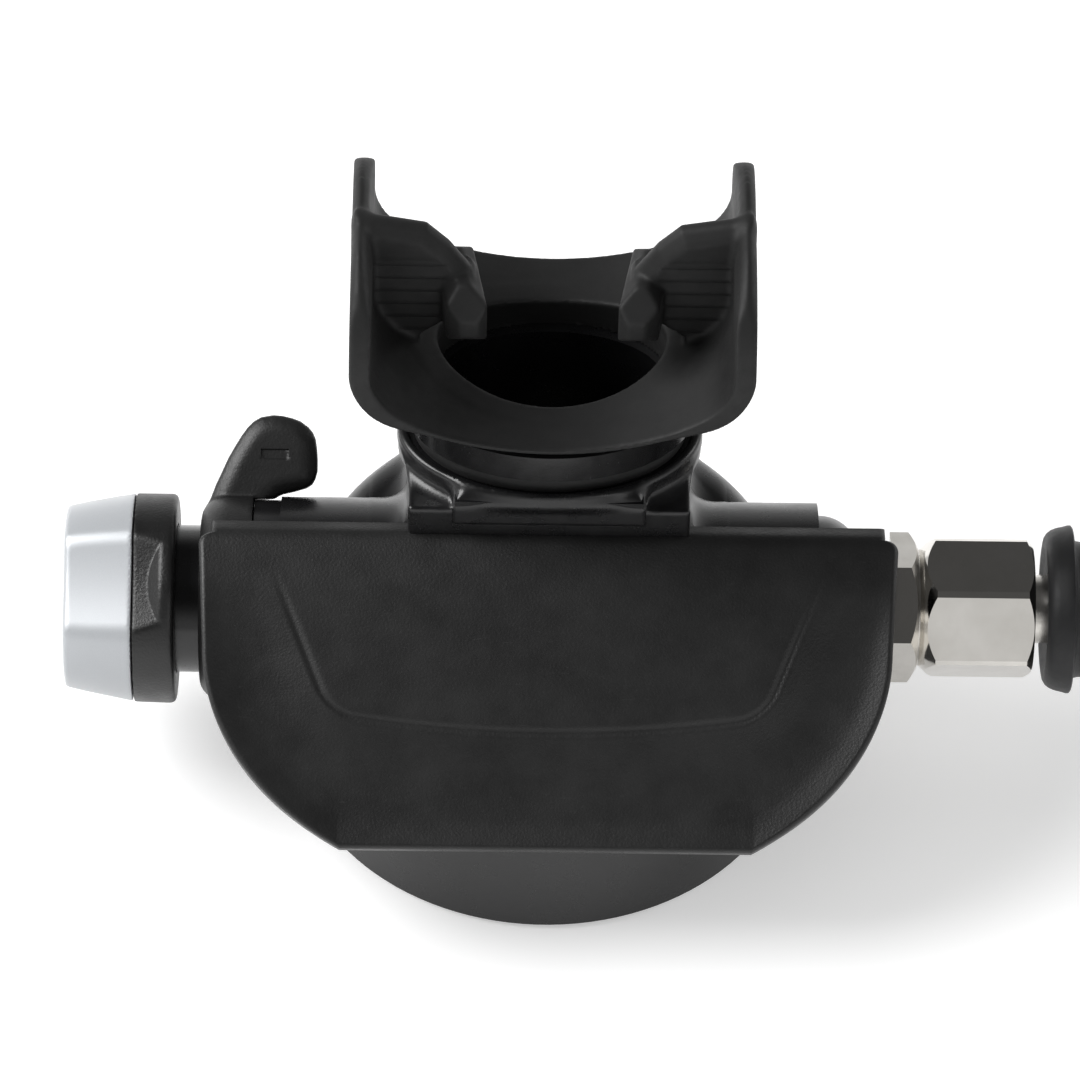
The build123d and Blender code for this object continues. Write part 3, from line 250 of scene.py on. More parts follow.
def addSky():
    world = bpy.data.worlds.new("studio")
    scene.world = world
    world.use_nodes = True
    tree = world.node_tree
    tree.nodes.clear()
    out = addNode(tree, "ShaderNodeOutputWorld")
    where = addNode(tree, "ShaderNodeTexCoord")
    height = addNode(tree, "ShaderNodeSeparateXYZ", None, {0: where.outputs["Generated"]})
    stops = studio["mirrored"]
    mirrored = addNode(tree, "ShaderNodeValToRGB", None, {"Fac": height.outputs["Z"]})
    blend = mirrored.color_ramp
    while len(blend.elements) < len(stops):
        blend.elements.new(0.5)
    for element, (place, level) in zip(blend.elements, stops):
        element.position = place
        element.color = (level, level, level, 1.0)
    spread = {"data_type": "FLOAT", "A": studio["skyLight"]}
    links = {"Factor": seenDirectly(tree), "B": mirrored.outputs["Color"]}
    strength = addNode(tree, "ShaderNodeMix", spread, links)
    sky = addNode(tree, "ShaderNodeBackground", None, {"Strength": strength.outputs[0]})
    tree.links.new(sky.outputs[0], out.inputs["Surface"])


scene.view_settings.view_transform = "Standard"
addCamera()
addFloor()
addLights()
addSky()
print("camera, floor and lights set")


def newFinish(name, colour, roughness, metallic=0.0, ior=1.5):
    material = bpy.data.materials.new(name)
    material.use_nodes = True
    shader = material.node_tree.nodes["Principled BSDF"]
    shader.inputs["Base Color"].default_value = linear(colour)
    shader.inputs["Roughness"].default_value = roughness
    shader.inputs["Metallic"].default_value = metallic
    if not metallic:
        shader.inputs["IOR"].default_value = ior
    return material, material.node_tree, shader


def perMillimetre(size):
    return 1 / (size * mm)  # noise scale that gives features of this size


def surfaceNoise(tree, size, detail=3.0, rough=0.55, stretch=None):
    place = addNode(tree, "ShaderNodeTexCoord").outputs["Object"]
    if stretch:
        moved = addNode(tree, "ShaderNodeMapping", {"Scale": stretch}, {"Vector": place})
        place = moved.outputs[0]
    settings = {"Scale": perMillimetre(size), "Detail": detail, "Roughness": rough}
    return addNode(tree, "ShaderNodeTexNoise", settings, {"Vector": place}).outputs["Fac"]


def spread(tree, value, low, high, start=0.3, end=0.7):
    settings = {"From Min": start, "From Max": end, "To Min": low, "To Max": high}
    return addNode(tree, "ShaderNodeMapRange", settings, {"Value": value}).outputs[0]


def tint(tree, shader, value, first, second):
    stops = addNode(tree, "ShaderNodeValToRGB", None, {"Fac": value})
    stops.color_ramp.elements[0].color = linear(first)
    stops.color_ramp.elements[1].color = linear(second)
    tree.links.new(stops.outputs["Color"], shader.inputs["Base Color"])


def relief(tree, shader, value, depth, strength=1.0, under=None):
    links = {"Height": value}
    if under:
        links["Normal"] = under
    settings = {"Distance": depth * mm, "Strength": strength}
    bump = addNode(tree, "ShaderNodeBump", settings, links).outputs["Normal"]
    tree.links.new(bump, shader.inputs["Normal"])
    return bump


rubMarks = {"stretch": (1.0, 9.0, 1.0), "crest": (0.69, 0.74), "dulling": 0.12}


def scratches(tree, size):
    # Thin stretched noise kept only at its crests: fine rub marks
    lines = surfaceNoise(tree, size, 2.0, 0.5, rubMarks["stretch"])
    return spread(tree, lines, 0.0, 1.0, *rubMarks["crest"])


mouldings = {
    "nylonCaseBlack": {  # glass-filled nylon, low gloss with a faint flow grain
        "dark": "#0c0c0d", "light": "#141415", "roughness": (0.24, 0.34), "grain": 0.4,
        "depth": 0.014, "patch": 9.0, "rub": 1.6,
    },
    "nylonSatinCharcoal": {  # textured nylon: even satin, a little greyer where handled
        "dark": "#101010", "light": "#1a1a1a", "roughness": (0.4, 0.52), "grain": 0.34,
        "depth": 0.05, "patch": 14.0, "rub": 2.2,
    },
    "acetalGripBlack": {  # fine spark grain on the turned grip
        "dark": "#0c0c0c", "light": "#161616", "roughness": (0.34, 0.46), "grain": 0.36,
        "depth": 0.06, "patch": 6.0, "rub": 1.4,
    },
    "acetalGlandBlack": {  # smooth, nearly polished acetal
        "dark": "#0b0b0c", "light": "#131314", "roughness": (0.14, 0.24), "grain": 0.5,
        "depth": 0.004, "patch": 5.0, "rub": 1.0,
    },
    "acetalWhite": {  # natural acetal: milky, slightly glossy
        "dark": "#cfcdc4", "light": "#dedcd3", "roughness": (0.30, 0.42), "grain": 0.4,
        "depth": 0.008, "patch": 5.0, "rub": 1.5,
    },
}

rubbers = {
    "siliconeMattBlack": {  # liquid silicone: dry, matt, catches pale dust
        "dark": "#0b0b0b", "light": "#151515", "roughness": (0.54, 0.68), "grain": 0.12,
        "depth": 0.014, "patch": 7.0, "dust": 0.12,
    },
    "nitrileBlack": {  # O-ring rubber, lightly greased
        "dark": "#0c0c0c", "light": "#141414", "roughness": (0.34, 0.5), "grain": 0.2,
        "depth": 0.01, "patch": 2.0, "dust": 0.2,
    },
    "thermoplasticSleeveBlack": {  # hose protector: soft satin with mould grain
        "dark": "#0e0e0f", "light": "#18181a", "roughness": (0.44, 0.58), "grain": 0.2,
        "depth": 0.02, "patch": 5.0, "dust": 0.25,
    },
}

platings = {
    "chromePlate": {  # bright hexagons: mirror faces with polishing haze and fine rub lines
        "bright": "#dedbd6", "dull": "#d0cdc7", "roughness": (0.05, 0.11), "lines": 0.10,
        "depth": 0.002, "patch": 6.0,
    },
    "satinChromePlate": {  # turned and tumbled before plating: softer reflections
        "bright": "#d6d3ce", "dull": "#c2bfb9", "roughness": (0.14, 0.22), "lines": 0.12,
        "depth": 0.003, "patch": 5.0,
    },
    "bareBrass": {  # machined brass, warm and a little tarnished
        "bright": "#d8b469", "dull": "#a9854a", "roughness": (0.26, 0.42), "lines": 0.14,
        "depth": 0.006, "patch": 3.0,
    },
    "springSteel": {  # drawn stainless wire, grey and evenly dull
        "bright": "#bdbcb9", "dull": "#8f8e8b", "roughness": (0.28, 0.42), "lines": 0.10,
        "depth": 0.004, "patch": 2.0,
    },
}


def moulded(name):
    look = mouldings[name]
    low, high = look["roughness"]
    material, tree, shader = newFinish(name, look["dark"], low)
    patches = surfaceNoise(tree, look["patch"], 4.0)
    tint(tree, shader, spread(tree, patches, 0.0, 1.0), look["dark"], look["light"])
    worn = spread(tree, surfaceNoise(tree, look["patch"] * 0.45, 5.0, 0.6), low, high)
    rub = scratches(tree, look["rub"])
    dulled = {"operation": "MULTIPLY_ADD", 1: rubMarks["dulling"]}
    sheen = addNode(tree, "ShaderNodeMath", dulled, {0: rub, 2: worn})
    tree.links.new(sheen.outputs[0], shader.inputs["Roughness"])
    grain = surfaceNoise(tree, look["grain"], 2.0, 0.5)
    relief(tree, shader, grain, look["depth"], 0.8)
    return material


rubberSkin = {"ior": 1.42, "sheenShare": 0.2, "sheenRoughness": 0.6}


def rubbery(name):
    look = rubbers[name]
    low, high = look["roughness"]
    material, tree, shader = newFinish(name, look["dark"], low, ior=rubberSkin["ior"])
    patches = surfaceNoise(tree, look["patch"], 5.0, 0.65)
    tint(tree, shader, spread(tree, patches, 0.0, 1.0), look["dark"], look["light"])
    dusty = spread(tree, surfaceNoise(tree, look["patch"] * 0.3, 6.0, 0.7), low, high)
    tree.links.new(dusty, shader.inputs["Roughness"])
    shader.inputs["Sheen Weight"].default_value = look["dust"] * rubberSkin["sheenShare"]
    shader.inputs["Sheen Roughness"].default_value = rubberSkin["sheenRoughness"]
    grain = surfaceNoise(tree, look["grain"], 3.0, 0.6)
    relief(tree, shader, grain, look["depth"], 0.7)
    return material


polishLines = {"stretch": (1.0, 0.08, 0.08), "dulling": 0.07}


def plated(name):
    look = platings[name]
    low, high = look["roughness"]
    material, tree, shader = newFinish(name, look["bright"], low, metallic=1.0)
    haze = surfaceNoise(tree, look["patch"], 5.0, 0.6)
    tint(tree, shader, spread(tree, haze, 0.0, 1.0, 0.35, 0.8), look["bright"], look["dull"])
    lines = surfaceNoise(tree, look["lines"], 2.0, 0.5, polishLines["stretch"])
    dull = spread(tree, haze, low, high, 0.4, 0.75)
    dulled = {"operation": "MULTIPLY_ADD", 1: polishLines["dulling"]}
    fine = addNode(tree, "ShaderNodeMath", dulled, {0: lines, 2: dull})
    tree.links.new(fine.outputs[0], shader.inputs["Roughness"])
    relief(tree, shader, lines, look["depth"], 0.35)
    return material


silverPaint = {
    "pale": "#b9bcbf", "shade": "#aeb1b5", "roughness": (0.30, 0.44), "flake": 0.09,
    "metal": 0.25, "coat": 0.35, "coatRoughness": 0.3, "peel": 0.3, "depth": 0.01,
}


def satinSilverLacquer():
    # Aluminium-flake lacquer under a satin coat: pale, soft highlight with a fine sparkle
    look = silverPaint
    low, high = look["roughness"]
    material, tree, shader = newFinish("satinSilverLacquer", look["pale"], low, look["metal"])
    flakes = surfaceNoise(tree, look["flake"], 2.0, 0.7)
    tint(tree, shader, spread(tree, flakes, 0.0, 1.0), look["shade"], look["pale"])
    tree.links.new(spread(tree, flakes, low, high), shader.inputs["Roughness"])
    shader.inputs["Coat Weight"].default_value = look["coat"]
    shader.inputs["Coat Roughness"].default_value = look["coatRoughness"]
    relief(tree, shader, surfaceNoise(tree, look["peel"], 3.0), look["depth"], 0.4)
    return material


clearRubber = {
    "colour": "#d9d8d0", "cloud": "#c6c5bc", "roughness": (0.28, 0.42), "ior": 1.41,
    "patch": 4.0, "scatter": 0.4, "scatterDepth": 1.5, "clear": 0.25, "grain": 0.3,
    "depth": 0.006,
}


def siliconeTranslucent():
    # Uncoloured silicone: milky, lets light through at thin rims
    look = clearRubber
    low, high = look["roughness"]
    material, tree, shader = newFinish("siliconeTranslucent", look["colour"], low, ior=look["ior"])
    cloud = surfaceNoise(tree, look["patch"], 4.0)
    tint(tree, shader, spread(tree, cloud, 0.0, 1.0), look["cloud"], look["colour"])
    tree.links.new(spread(tree, cloud, low, high), shader.inputs["Roughness"])
    shader.inputs["Subsurface Weight"].default_value = look["scatter"]
    shader.inputs["Subsurface Scale"].default_value = look["scatterDepth"] * mm
    shader.inputs["Transmission Weight"].default_value = look["clear"]
    relief(tree, shader, surfaceNoise(tree, look["grain"]), look["depth"], 0.5)
    return material


hoseCoverLook = {
    "dark": "#0f0f10", "light": "#1a1a1b", "roughness": (0.40, 0.54), "ior": 1.45,
    "patch": 9.0, "wrap": 26.0, "wrapTurn": (0.6, 0.5, 0.8), "wrapWaver": 0.6,
    "wrapDepth": 0.015, "grain": 0.25, "depth": 0.02,
}


def hoseCoverRubber():
    # Vulcanised cover that keeps the faint print of its curing cloth
    look = hoseCoverLook
    low, high = look["roughness"]
    material, tree, shader = newFinish("hoseCoverRubber", look["dark"], low, ior=look["ior"])
    patches = surfaceNoise(tree, look["patch"], 5.0)
    tint(tree, shader, spread(tree, patches, 0.0, 1.0), look["dark"], look["light"])
    place = addNode(tree, "ShaderNodeTexCoord").outputs["Object"]
    turned = {"Rotation": look["wrapTurn"]}
    wrap = addNode(tree, "ShaderNodeMapping", turned, {"Vector": place}).outputs[0]
    bands = {"Scale": perMillimetre(look["wrap"]), "Distortion": look["wrapWaver"], "Detail": 2.0}
    weave = addNode(tree, "ShaderNodeTexWave", bands, {"Vector": wrap}).outputs["Fac"]
    tree.links.new(spread(tree, patches, low, high), shader.inputs["Roughness"])
    first = relief(tree, shader, weave, look["wrapDepth"], 0.4)
    relief(tree, shader, surfaceNoise(tree, look["grain"], 3.0), look["depth"], 0.6, first)
    return material


finishes = {
    "shell_black": moulded("nylonCaseBlack"),
    "tee_black": moulded("nylonSatinCharcoal"),
    "ring_black": moulded("acetalGripBlack"),
    "gland_black": moulded("acetalGlandBlack"),
    "white_plastic": moulded("acetalWhite"),
    "soft_black": rubbery("siliconeMattBlack"),
    "nitrile": rubbery("nitrileBlack"),
    "chrome": plated("chromePlate"),
    "satin_chrome": plated("satinChromePlate"),
    "brass": plated("bareBrass"),
    "steel": plated("springSteel"),
    "silver_plastic": satinSilverLacquer(),
    "silicone_clear": siliconeTranslucent(),
    "hose_rubber": hoseCoverRubber(),
}
sleeveRubber = rubbery("thermoplasticSleeveBlack")


def wear(obj, material):
    obj.data.materials.clear()
    obj.data.materials.append(material)


def dressNodes():
    for entry in frame["record"]["subparts"]:
        wear(nodes[entry["node"]], finishes[entry["material_slot"]])
    wear(nodes["hose_protector"], sleeveRubber)
    print("finishes on", len(nodes), "nodes")


dressNodes()
layHose(finishes["hose_rubber"])


def meshObject(name, points, faces):
    mesh = bpy.data.meshes.new(name)
    mesh.from_pydata([tuple(p) for p in points], [], faces)
    mesh.update()
    return placed(name, mesh)


def tidyNormals(obj, sharpAngle=32, weld=0.0):
    work = bmesh.new()
    work.from_mesh(obj.data)
    if weld:
        bmesh.ops.remove_doubles(work, verts=work.verts, dist=weld)
        bmesh.ops.dissolve_degenerate(work, edges=work.edges, dist=weld * 0.1)
    bmesh.ops.recalc_face_normals(work, faces=work.faces)
    for face in work.faces:
        face.smooth = True
    limit = math.radians(sharpAngle)
    for edge in work.edges:
        edge.smooth = edge.calc_face_angle(0) < limit
    work.to_mesh(obj.data)
    work.free()


def applyModifiers(obj):
    graph = bpy.context.evaluated_depsgraph_get()
    mesh = bpy.data.meshes.new_from_object(obj.evaluated_get(graph))
    obj.modifiers.clear()
    obj.data = mesh


def modify(obj, kind, **settings):
    modifier = obj.modifiers.new(kind.lower(), kind)
    for name, value in settings.items():
        setattr(modifier, name, value)


def cutAway(obj, tool):
    modify(obj, "BOOLEAN", operation="DIFFERENCE", object=tool, solver="EXACT")
    applyModifiers(obj)
    bpy.data.objects.remove(tool)


def joinPieces(name, pieces):
    work = bmesh.new()
    for piece in pieces:
        tidyNormals(piece)
        work.from_mesh(piece.data)
        bpy.data.objects.remove(piece)
    mesh = bpy.data.meshes.new(name)
    work.to_mesh(mesh)
    work.free()
    return placed(name, mesh)


def finishPiece(obj, material, body, replaced, sharpAngle):
    tidyNormals(obj, sharpAngle)
    wear(obj, material)
    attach(obj, body)
    if replaced:
        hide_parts(*replaced)
    print(obj.name, len(obj.data.polygons), "faces")


def gridSlab(name, top, bottom):
    # Closed sheet between two grids of points with the same rows and columns
    rows, cols = len(top), len(top[0])
    points = [p for row in top for p in row] + [p for row in bottom for p in row]
    under = rows * cols
    faces = []
    for j in range(rows - 1):
        for i in range(cols - 1):
            a, b = j * cols + i, j * cols + i + 1
            c, d = b + cols, a + cols
            faces.append((a, b, c, d))
            faces.append((under + d, under + c, under + b, under + a))
    rim = list(range(cols))
    rim += [j * cols + cols - 1 for j in range(1, rows)]
    rim += [(rows - 1) * cols + i for i in range(cols - 2, -1, -1)]
    rim += [j * cols for j in range(rows - 2, 0, -1)]
    for k, a in enumerate(rim):
        b = rim[(k + 1) % len(rim)]
        faces.append((b, a, under + a, under + b))
    return meshObject(name, points, faces)


def turnedOnLine(name, profile, steps=128):
    # Closed profile of (x, radius) points turned about the valve line
    count = len(profile)
    points, faces = [], []
    for k in range(steps):
        turn = 2 * math.pi * k / steps
        for x, r in profile:
            height = lineHeight + r * math.sin(turn)
            points.append((x * mm, r * math.cos(turn) * mm, height * mm))
        n = (k + 1) % steps
        for i in range(count):
            j = (i + 1) % count
            faces.append((k * count + i, k * count + j, n * count + j, n * count + i))
    return meshObject(name, points, faces)


def ease(value, low, high):
    share = min(1.0, max(0.0, (value - low) / (high - low)))
    return share * share * (3 - 2 * share)


def through(knots, x):
    # Smooth curve through a few (x, y) knots
    last = len(knots) - 1
    k = 0
    while k < last - 1 and x > knots[k + 1][0]:
        k += 1
    (x0, y0), (x1, y1) = knots[k], knots[k + 1]
    before, after = knots[max(0, k - 1)], knots[min(last, k + 2)]
    span = x1 - x0
    m0 = (y1 - before[1]) / (x1 - before[0]) * span
    m1 = (after[1] - y0) / (after[0] - x0) * span
    s = min(1.0, max(0.0, (x - x0) / span))
    a = (2 * s**3 - 3 * s**2 + 1) * y0 + (s**3 - 2 * s**2 + s) * m0
    return a + (3 * s**2 - 2 * s**3) * y1 + (s**3 - s**2) * m1


def roundedDrop(distance, radius):
    # How far a rounded edge falls below its face at a distance from the rim
    near = max(0.0, radius - distance)
    return radius - math.sqrt(max(0.0, radius**2 - near**2))


def clustered(count):
    # Even steps that crowd together towards both ends, from -1 to 1
    return [math.sin(math.pi / 2 * (-1 + 2 * k / count)) for k in range(count + 1)]


# Exhaust deflector: one bent face with a sunken border below a U-shaped crease
deflector = {
    "topY": -4.2,
    "topZ": 45.2,
    "tilt": 32.6,
    "halfWidth": 47.2,
    "sideLength": 15.0,
    "sideDraw": 0.8,
    "curveHeight": 33.6,
    "drop": 42.0,
    "wall": 2.4,
    "cornerRadius": 1.8,
    "edgeRadius": 0.8,
    "face": [(-2.5, -2.2), (-0.9, -0.35), (1.2, 0.4), (9.0, 1.0), (22.0, 0.4), (42.0, -0.9)],
    "border": [(0.0, 0.0), (0.1, -0.3), (0.4, -0.85), (0.75, -0.7), (1.0, 0.15)],
    "creaseLow": 26.2,
    "creaseCurve": 2.5,
    "creaseHalf": 30.1,
    "creaseLean": 3.9,
    "creaseTop": 12.0,
    "creaseSide": 9.6,
    "creaseRadius": 3.0,
    "creaseSlant": 0.93,
    "creaseFade": (3, 17),
    "groove": 0.34,
    "grooveWidth": 0.46,
    "rimNarrows": 0.35,
    "leastWall": 0.3,
    "rows": 220,
    "columns": 340,
    # The duct's side walls start lower than the face's rounded corners
    "ductCornerX": (42.5, 60.0),
    "ductCornerY": (-60, 20),
    "ductCornerZ": (60, 40.5),
}


def deflectorHalf(t):
    d = deflector
    half = d["halfWidth"] - roundedDrop(t + 0.6, d["cornerRadius"]) if t < 2 else d["halfWidth"]
    half -= d["sideDraw"] * min(1.0, max(0.0, t / d["sideLength"]))
    past = max(0.0, t - d["sideLength"])
    return half * math.sqrt(1 - (past / d["curveHeight"]) ** 2)


def creaseDistance(x, t):
    # Distance outside the U-shaped crease, in mm; negative inside it
    d = deflector
    along = (t - d["creaseTop"]) / d["creaseSide"]
    side = (abs(x) - d["creaseHalf"] - d["creaseLean"] * (1 - along)) * d["creaseSlant"]
    low = t - d["creaseLow"] + d["creaseCurve"] * (x / d["creaseHalf"]) ** 2
    r = d["creaseRadius"]
    if side > -r and low > -r:
        return math.hypot(side + r, low + r) - r
    return max(side, low)


def deflectorHeight(x, t):
    d = deflector
    out = creaseDistance(x, t)
    narrower = 1 - d["rimNarrows"] * ease(t, d["sideLength"], d["drop"])
    sideRim = (deflectorHalf(t) - abs(x)) * narrower
    rim = max(0.0, min(sideRim, d["drop"] - t))
    height = through(d["face"], t)
    fade = ease(t, *d["creaseFade"])
    if out > 0:
        height += through(d["border"], out / (out + rim + 1e-6)) * fade
    height -= d["groove"] * fade * math.exp(-((out / d["grooveWidth"]) ** 2))
    return height - roundedDrop(rim, d["edgeRadius"])


def onDeflector(x, t, height):
    d = deflector
    tilt = math.radians(d["tilt"])
    y = d["topY"] - t * math.cos(tilt) - height * math.sin(tilt)
    z = d["topZ"] - t * math.sin(tilt) + height * math.cos(tilt)
    return (x * mm, y * mm, z * mm)


def deflectorSkin():
    d = deflector
    coarse = 1
    columns = clustered(d["columns"] // coarse)
    low, high = d["face"][0][0], d["drop"]
    top, bottom = [], []
    for j in clustered(d["rows"] // coarse):
        t = low + (high - low) * (j + 1) / 2
        half = deflectorHalf(t)
        front = [(half * i, deflectorHeight(half * i, t)) for i in columns]
        top.append([onDeflector(x, t, h) for x, h in front])
        back = []
        for x, h in front:
            rim = min(half - abs(x), high - t)
            thick = d["wall"] - 2 * roundedDrop(rim, d["edgeRadius"] * 0.6)
            back.append(onDeflector(x, t, h - max(d["leastWall"], thick)))
        bottom.append(back)
    return gridSlab("deflectorSkin", top, bottom)


def aboveDeflector():
    # Everything outside the middle of the skin, to cut the duct's own plain face away
    d = deflector
    above, middle = [], []
    for j in range(25):
        t = -8 + 2.4 * j
        row = [(-60 + 6 * i, t) for i in range(21)]
        half = deflectorHalf(min(38, max(0, t)))
        shares = [max(-0.9, min(0.9, x / 47)) for x, _ in row]
        inner = min(38, max(-2, t))
        heights = [deflectorHeight(s * half, inner) - d["wall"] / 2 for s in shares]
        above.append([onDeflector(x, t, 25) for x, t in row])
        middle.append([onDeflector(x, t, h) for (x, t), h in zip(row, heights)])
    return gridSlab("cutter", above, middle)


def ductCorner(side):
    d = deflector
    ends = sorted(x * side for x in d["ductCornerX"])
    levels = []
    for z in d["ductCornerZ"]:
        levels.append([[(x * mm, y * mm, z * mm) for x in ends] for y in d["ductCornerY"]])
    return gridSlab("corner", *levels)


def buildDeflector(material):
    skin = deflectorSkin()
    duct = placed("duct", nodes["exhaust_tee"].data.copy())
    duct.matrix_world = nodes["exhaust_tee"].matrix_world
    tidyNormals(duct, weld=1e-6)
    for cutter in (aboveDeflector(), ductCorner(-1), ductCorner(1)):
        tidyNormals(cutter)
        cutAway(duct, cutter)
    piece = joinPieces("deflectorMoulding", [skin, duct])
    finishPiece(piece, material, "case", ["exhaust_tee"], 34)


# Shapes given by their distance from the surface, in mm, negative inside
def smoothLow(a, b, blend):
    share = numpy.clip(0.5 + 0.5 * (b - a) / blend, 0.0, 1.0)
    return b + (a - b) * share - blend * share * (1 - share)


def smoothHigh(a, b, blend):
    return -smoothLow(-a, -b, blend)


def ramp(value, low, high):
    share = numpy.clip((value - low) / (high - low), 0.0, 1.0)
    return share * share * (3 - 2 * share)


def ovalAway(x, y, width, depth):
    a, b = width / 2, depth / 2
    near = numpy.hypot(x / a, y / b) + 1e-6
    return near * (near - 1) / numpy.hypot(x / a**2, y / b**2).clip(1e-6)


def closing(side, edge):
    # Distance from the flat across the corner between two sides
    return (side + edge) * diagonal


def boxAway(x, y, halfX, halfY, corner):
    dx, dy = abs(x) - halfX + corner, abs(y) - halfY + corner
    outside = numpy.hypot(dx.clip(0), dy.clip(0))
    return outside + numpy.minimum(numpy.maximum(dx, dy), 0.0) - corner


def outlineAway(x, z, corners):
    # Distance from a closed outline of straight runs
    near = numpy.full(x.shape, 1e9)
    inside = numpy.zeros(x.shape, bool)
    for (x0, z0), (x1, z1) in zip(corners, corners[1:] + corners[:1]):
        ex, ez = x1 - x0, z1 - z0
        along = (((x - x0) * ex + (z - z0) * ez) / (ex * ex + ez * ez)).clip(0, 1)
        near = numpy.minimum(near, numpy.hypot(x - x0 - ex * along, z - z0 - ez * along))
        if z0 != z1:
            crosses = ((z0 > z) != (z1 > z)) & (x < ex * (z - z0) / ez + x0)
            inside ^= crosses
    return numpy.where(inside, -near, near)


def meshFromDistance(name, away, low, high, step):
    # Closed mesh of quads, its points moved onto the surface
    step = step * 1
    axes = [l + step * numpy.arange(int((h - l) / step) + 2) for l, h in zip(low, high)]
    inside = away(*numpy.meshgrid(*axes, indexing="ij")) < 0
    for axis in range(3):
        numpy.moveaxis(inside, axis, 0)[[0, -1]] = False
    size = [n - 1 for n in inside.shape]
    full = numpy.zeros(size, int)
    for i, j, k in numpy.ndindex(2, 2, 2):
        full += inside[i : i + size[0], j : j + size[1], k : k + size[2]]
    cells = numpy.argwhere((full > 0) & (full < 8))
    index = numpy.full(size, -1)
    index[tuple(cells.T)] = numpy.arange(len(cells))
    middle = numpy.array(low) + step * (cells + 0.5)
    points = middle.copy()
    probe = 0.02
    for _ in range(5):
        here = away(*points.T)
        nudge = probe * numpy.eye(3)
        slope = numpy.stack([(away(*(points + n).T) - here) / probe for n in nudge], axis=1)
        points -= slope * (here / (slope**2).sum(axis=1).clip(0.3))[:, None]
        points = numpy.clip(points, middle - 0.7 * step, middle + 0.7 * step)
    faces = []
    for axis in range(3):
        first = numpy.moveaxis(inside, axis, 0)
        changes = numpy.moveaxis(first[1:] ^ first[:-1], 0, axis)
        edges = numpy.argwhere(changes)
        beside = [numpy.eye(3, dtype=int)[a] for a in range(3) if a != axis]
        shifts = (0 * beside[0], beside[0], beside[0] + beside[1], beside[1])
        quads = numpy.stack([index[tuple((edges - s).T)] for s in shifts], axis=1)
        faces += quads[(quads >= 0).all(axis=1)].tolist()
    return meshObject(name, (points * mm).tolist(), faces)


# Mouthpiece: a thin curved shield, a sleeve under it, and two bite tabs with lugs
mouthpieceShape = {
    "underside": 65.7,
    "halfWidth": 26.65,
    "height": 35.7,  # lip to lip
    "endHeight": 28.4,  # how far the ends stand above the middle
    "wall": 2.2,
    "lipWall": 0.9,
    "floorRadius": 42.0,
    "cornerRadius": 12.0,
    "tipRadius": 13.0,
    "bore": (30.4, 18.9),
    "socket": (33.5, 20.5),
    "socketTop": 63.1,
    "sleeve": (36.9, 23.9),
    "sleeveBottom": 53.1,
    "tabThickness": 4.3,
    "tabBevel": 1.5,
    "tabOutline": [
        (26.0, 73.9), (18.8, 71.9), (12.8, 77.0), (10.4, 80.6), (10.4, 83.4), (13.6, 88.6),
        (16.6, 91.9), (20.5, 92.7), (26.0, 93.8),
    ],
    "ridgeSpacing": 2.4,
    "ridgeHeight": 0.32,
    "ridgeTop": 88.0,
    "lugMiddle": (12.3, 79.3),
    "lugHalf": (2.7, 7.0, 5.0),
    "lugSkew": 0.18,  # the inner face leans out towards the nose side
    "sideWall": 0.7,  # extra thickness of the upright ends
    "endLean": 0.012,
    "upright": (14.0, 25.0),
    "tipLength": 6.0,
    "tipTaper": 0.7,
    "edgeBlend": (0.5, 2.4),  # along the sides, and more at the tips
    "sleeveTop": 72,
    "sleeveBlend": 2.0,
    "boreFlare": (69.5, 9, 0.12),  # from this height down, over this depth, by this share
    "ridgeFrom": (13.0, 15.5),
    "tabBevelLow": (84, 0.8),
    "tabBlend": 1.2,
    "lugBevels": (3.4, 1.5, 1.9),
    "grid": 0.4,
}


def shieldDepth(x, z):
    # How deep a point lies inside the shield's outer surface
    s = mouthpieceShape
    cornerX = s["halfWidth"] - s["cornerRadius"]
    reach = s["floorRadius"] - s["cornerRadius"]
    centreZ = s["underside"] + s["floorRadius"]
    cornerZ = centreZ - math.sqrt(reach**2 - cornerX**2)
    floor = s["floorRadius"] - numpy.hypot(x, z - centreZ)
    corner = s["cornerRadius"] - numpy.hypot(x - cornerX, z - cornerZ)
    end = s["halfWidth"] - x - s["endLean"] * (z - cornerZ)
    pastFloor = numpy.arctan2(x, centreZ - z) > math.asin(cornerX / reach)
    below = numpy.where(pastFloor, corner, floor)
    return numpy.where(z > cornerZ, numpy.minimum(end, floor), below)


def tabAway(x, y, z):
    s = mouthpieceShape
    plate = outlineAway(x, z, s["tabOutline"])
    thick = s["tabThickness"] / 2
    teeth = (z / s["ridgeSpacing"]) % 1.0
    ribbed = ramp(x, *s["ridgeFrom"]) * (1 - ramp(z, s["ridgeTop"] - 1, s["ridgeTop"]))
    side = abs(y) - thick + s["ridgeHeight"] * teeth * ribbed
    bevel = closing(plate, abs(y) - thick + s["tabBevel"])
    lowBelow, less = s["tabBevelLow"]
    bevel = numpy.where(z > lowBelow, bevel, bevel - less)
    return smoothHigh(smoothHigh(plate, side, 0.4), bevel, 0.4)


def lugAway(x, y, z):
    s = mouthpieceShape
    hx, hy, hz = s["lugHalf"]
    lx = abs(x - s["lugMiddle"][0] - s["lugSkew"] * y) - hx
    ly = abs(y) - hy
    lz = abs(z - s["lugMiddle"][1]) - hz
    lug = numpy.maximum(numpy.maximum(lx, ly), lz)
    for (one, other), bevel in zip(((ly, lz), (lx, ly), (lx, lz)), s["lugBevels"]):
        lug = smoothHigh(lug, closing(one, other + bevel), 0.35)
    return lug


